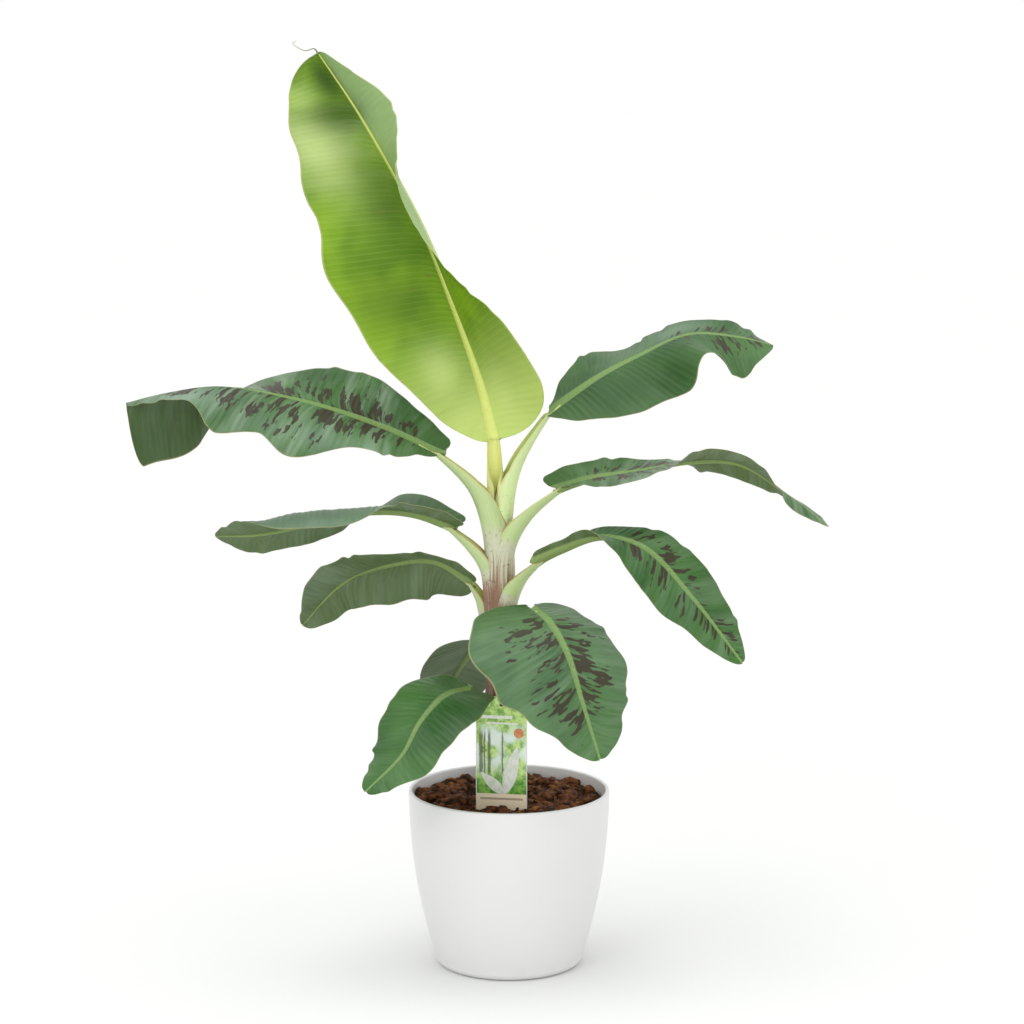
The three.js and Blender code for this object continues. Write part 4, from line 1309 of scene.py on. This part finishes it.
holeAt = label["top"] - label["drop"]
hole = arcPoints(0, holeAt, label["hole"], 360, 15, 24)
card = cardPiece("labelCard", [cardOutline(), hole], label["thick"], 0)
card.data.materials.append(labelFinish())
finishPiece(card, "label", "label")
half = label["width"] / 2
prints = {
    "labelLeaf": ([leafOutline(0.004, 0.2, 0.056, 0.015, -14)], linear(240, 242, 236), linear(222, 230, 214)),
    "labelLeafLow": ([leafOutline(0.0035, 0.2, 0.036, 0.012, 48)],
                     linear(236, 238, 230), linear(214, 224, 204)),
    "labelSun": ([arcPoints(half - 9 * mm, 0.268, 5.5 * mm, 0, 345, 24)],
                 linear(224, 150, 92), linear(206, 124, 70)),
    "labelBanner": ([[(-half + 3 * mm, 0.2835), (half - 16 * mm, 0.2835), (half - 16 * mm, 0.287),
                      (-half + 3 * mm, 0.287)],
                     [(-half + 12 * mm, 0.2775), (half - 10 * mm, 0.2775), (half - 10 * mm, 0.2795),
                      (-half + 12 * mm, 0.2795)]],
                    linear(246, 248, 240), linear(232, 238, 220)),
}
for name, (outlines, first, second) in prints.items():
    piece = cardPiece(name, outlines, label["print"], -(label["thick"] + label["print"]) / 2 - 0.02 * mm)
    piece.data.materials.append(printFinish(name + "Finish", first, second))
    finishPiece(piece, "label")
print("label made")


# the dried thread that curls off the youngest leaf's tip
thread = {"radius": 0.55 * mm, "taper": [2.4, 1.0, 0.8, 0.6, 0.4], "rows": 60, "sides": 8,
          "points": [(-205, 64, 990), (-209, 60, 996), (-218, 57, 994), (-226, 57, 997), (-232, 58, 1002),
                     (-228, 60, 1004)]}


def tubePiece(name, path, radii, rows, sides):
    share = np.linspace(0, 1, rows)
    centre, along = path.at(share), path.along(share)
    across = unit(np.cross(along, np.array([0.2, 1.0, 0.1])))
    up = np.cross(along, across)
    turn = np.linspace(0, 2 * math.pi, sides, endpoint=False)
    size = np.interp(share, np.linspace(0, 1, len(radii)), radii)[:, None, None]
    ray = across[:, None] * np.cos(turn)[:, None] + up[:, None] * np.sin(turn)[:, None]
    rings = centre[:, None] + size * ray
    rings[[0, -1]] = centre[[0, -1], None]
    profile = np.zeros((rows, 2))
    return roundPiece(name, profile, sides, shift=lambda _: rings)


tipThread = tubePiece("tipThread", PathThrough(np.array(thread["points"]) * mm),
                      np.array(thread["taper"]) * thread["radius"], thread["rows"], thread["sides"])
threadMaterial, threadTree, threadShader = newFinish("threadFinish", {"IOR": 1.4})
threadMottle = useGroup(threadTree, mottle, {"Scale": 150.0, "Seed": 2.0})
feed(threadTree, threadShader, {
    "Base Color": blend(threadTree, threadMottle["Slow"], linear(96, 92, 60), linear(168, 164, 128)),
    "Roughness": ranged(threadTree, threadMottle["Fast"], 0.5, 0.8)})
tipThread.data.materials.append(threadMaterial)
finishPiece(tipThread, "young_leaf")


def makeFloor():
    mesh = bpy.data.meshes.new("floor")
    side = 30.0
    corners = [(-side, -side, 0), (side, -side, 0), (side, side, 0), (-side, side, 0)]
    mesh.from_pydata(corners, [], [(0, 1, 2, 3)])
    floor = plainObject("floor", mesh)
    material, tree, shader = newFinish("floorFinish", {
        "Base Color": linear(220, 221, 219), "Roughness": 0.7, "Emission Color": (1, 1, 1, 1),
        "Emission Strength": 0.04})
    floor.data.materials.append(material)


def makeLight(name, place, aim, size, power):
    light = bpy.data.lights.new(name, "AREA")
    light.shape, light.size, light.energy = "DISK", size, power
    lamp = plainObject(name, light)
    lamp.location = place
    lamp.rotation_euler = (Vector(aim) - Vector(place)).to_track_quat("-Z", "Y").to_euler()


def makeSun(name, place, spread, power):
    light = bpy.data.lights.new(name, "SUN")
    light.angle, light.energy = math.radians(spread), power
    lamp = plainObject(name, light)
    lamp.rotation_euler = Vector(place).to_track_quat("Z", "Y").to_euler()


# white all round, dimmer on the side that the plant's front faces, so that the front is softly modelled
def makeWorld(front, back):
    world = bpy.data.worlds.new("softRoom")
    world.use_nodes = True
    tree = world.node_tree
    way = partsOf(tree, addNode(tree, "ShaderNodeTexCoord").outputs["Generated"])
    level = addNode(tree, "ShaderNodeMapRange", {0: way["Y"], 1: -0.9, 2: 0.5, 3: front, 4: back})
    seen = addNode(tree, "ShaderNodeLightPath").outputs["Is Camera Ray"]
    level = maths(tree, "MAXIMUM", level.outputs[0], seen)
    background = tree.nodes["Background"]
    background.inputs["Color"].default_value = (1, 1, 1, 1)
    tree.links.new(level, background.inputs["Strength"])
    bpy.context.scene.world = world


def makeCamera(place, pitchDown, lens):
    data = bpy.data.cameras.new("camera")
    data.lens, data.sensor_width = lens, 36
    data.clip_end = 60
    camera = plainObject("camera", data)
    camera.location = place
    camera.rotation_euler = (math.radians(90 - pitchDown), 0, 0)
    bpy.context.scene.camera = camera


suns = {
    "sunTop": {"from": (0, -0.1, 1), "spread": 45, "power": 0.95},
    "sunLeft": {"from": (-1.6, -1.2, 2.4), "spread": 60, "power": 0.5},
    "sunRight": {"from": (1.7, -0.8, 2.2), "spread": 60, "power": 0.3},
}
lamps = {
    "sheen": {"place": (-1.1, -1.9, 1.9), "aim": (-0.1, 0, 0.65), "size": 0.8, "power": 6},
    "fill": {"place": (0.5, -2.4, 0.55), "aim": (0, 0, 0.35), "size": 1.0, "power": 8},
}
view = {"place": (0.0033, -3.2, 1.027), "pitchDown": 9.32, "lens": 105.5}
makeFloor()
makeWorld(0.6, 1.0)
for name, sun in suns.items():
    makeSun(name, sun["from"], sun["spread"], sun["power"])
for name, lamp in lamps.items():
    makeLight(name, lamp["place"], lamp["aim"], lamp["size"], lamp["power"])
makeCamera(view["place"], view["pitchDown"], view["lens"])
bpy.context.scene.view_settings.view_transform = "Standard"
print("floor, lights and camera made")
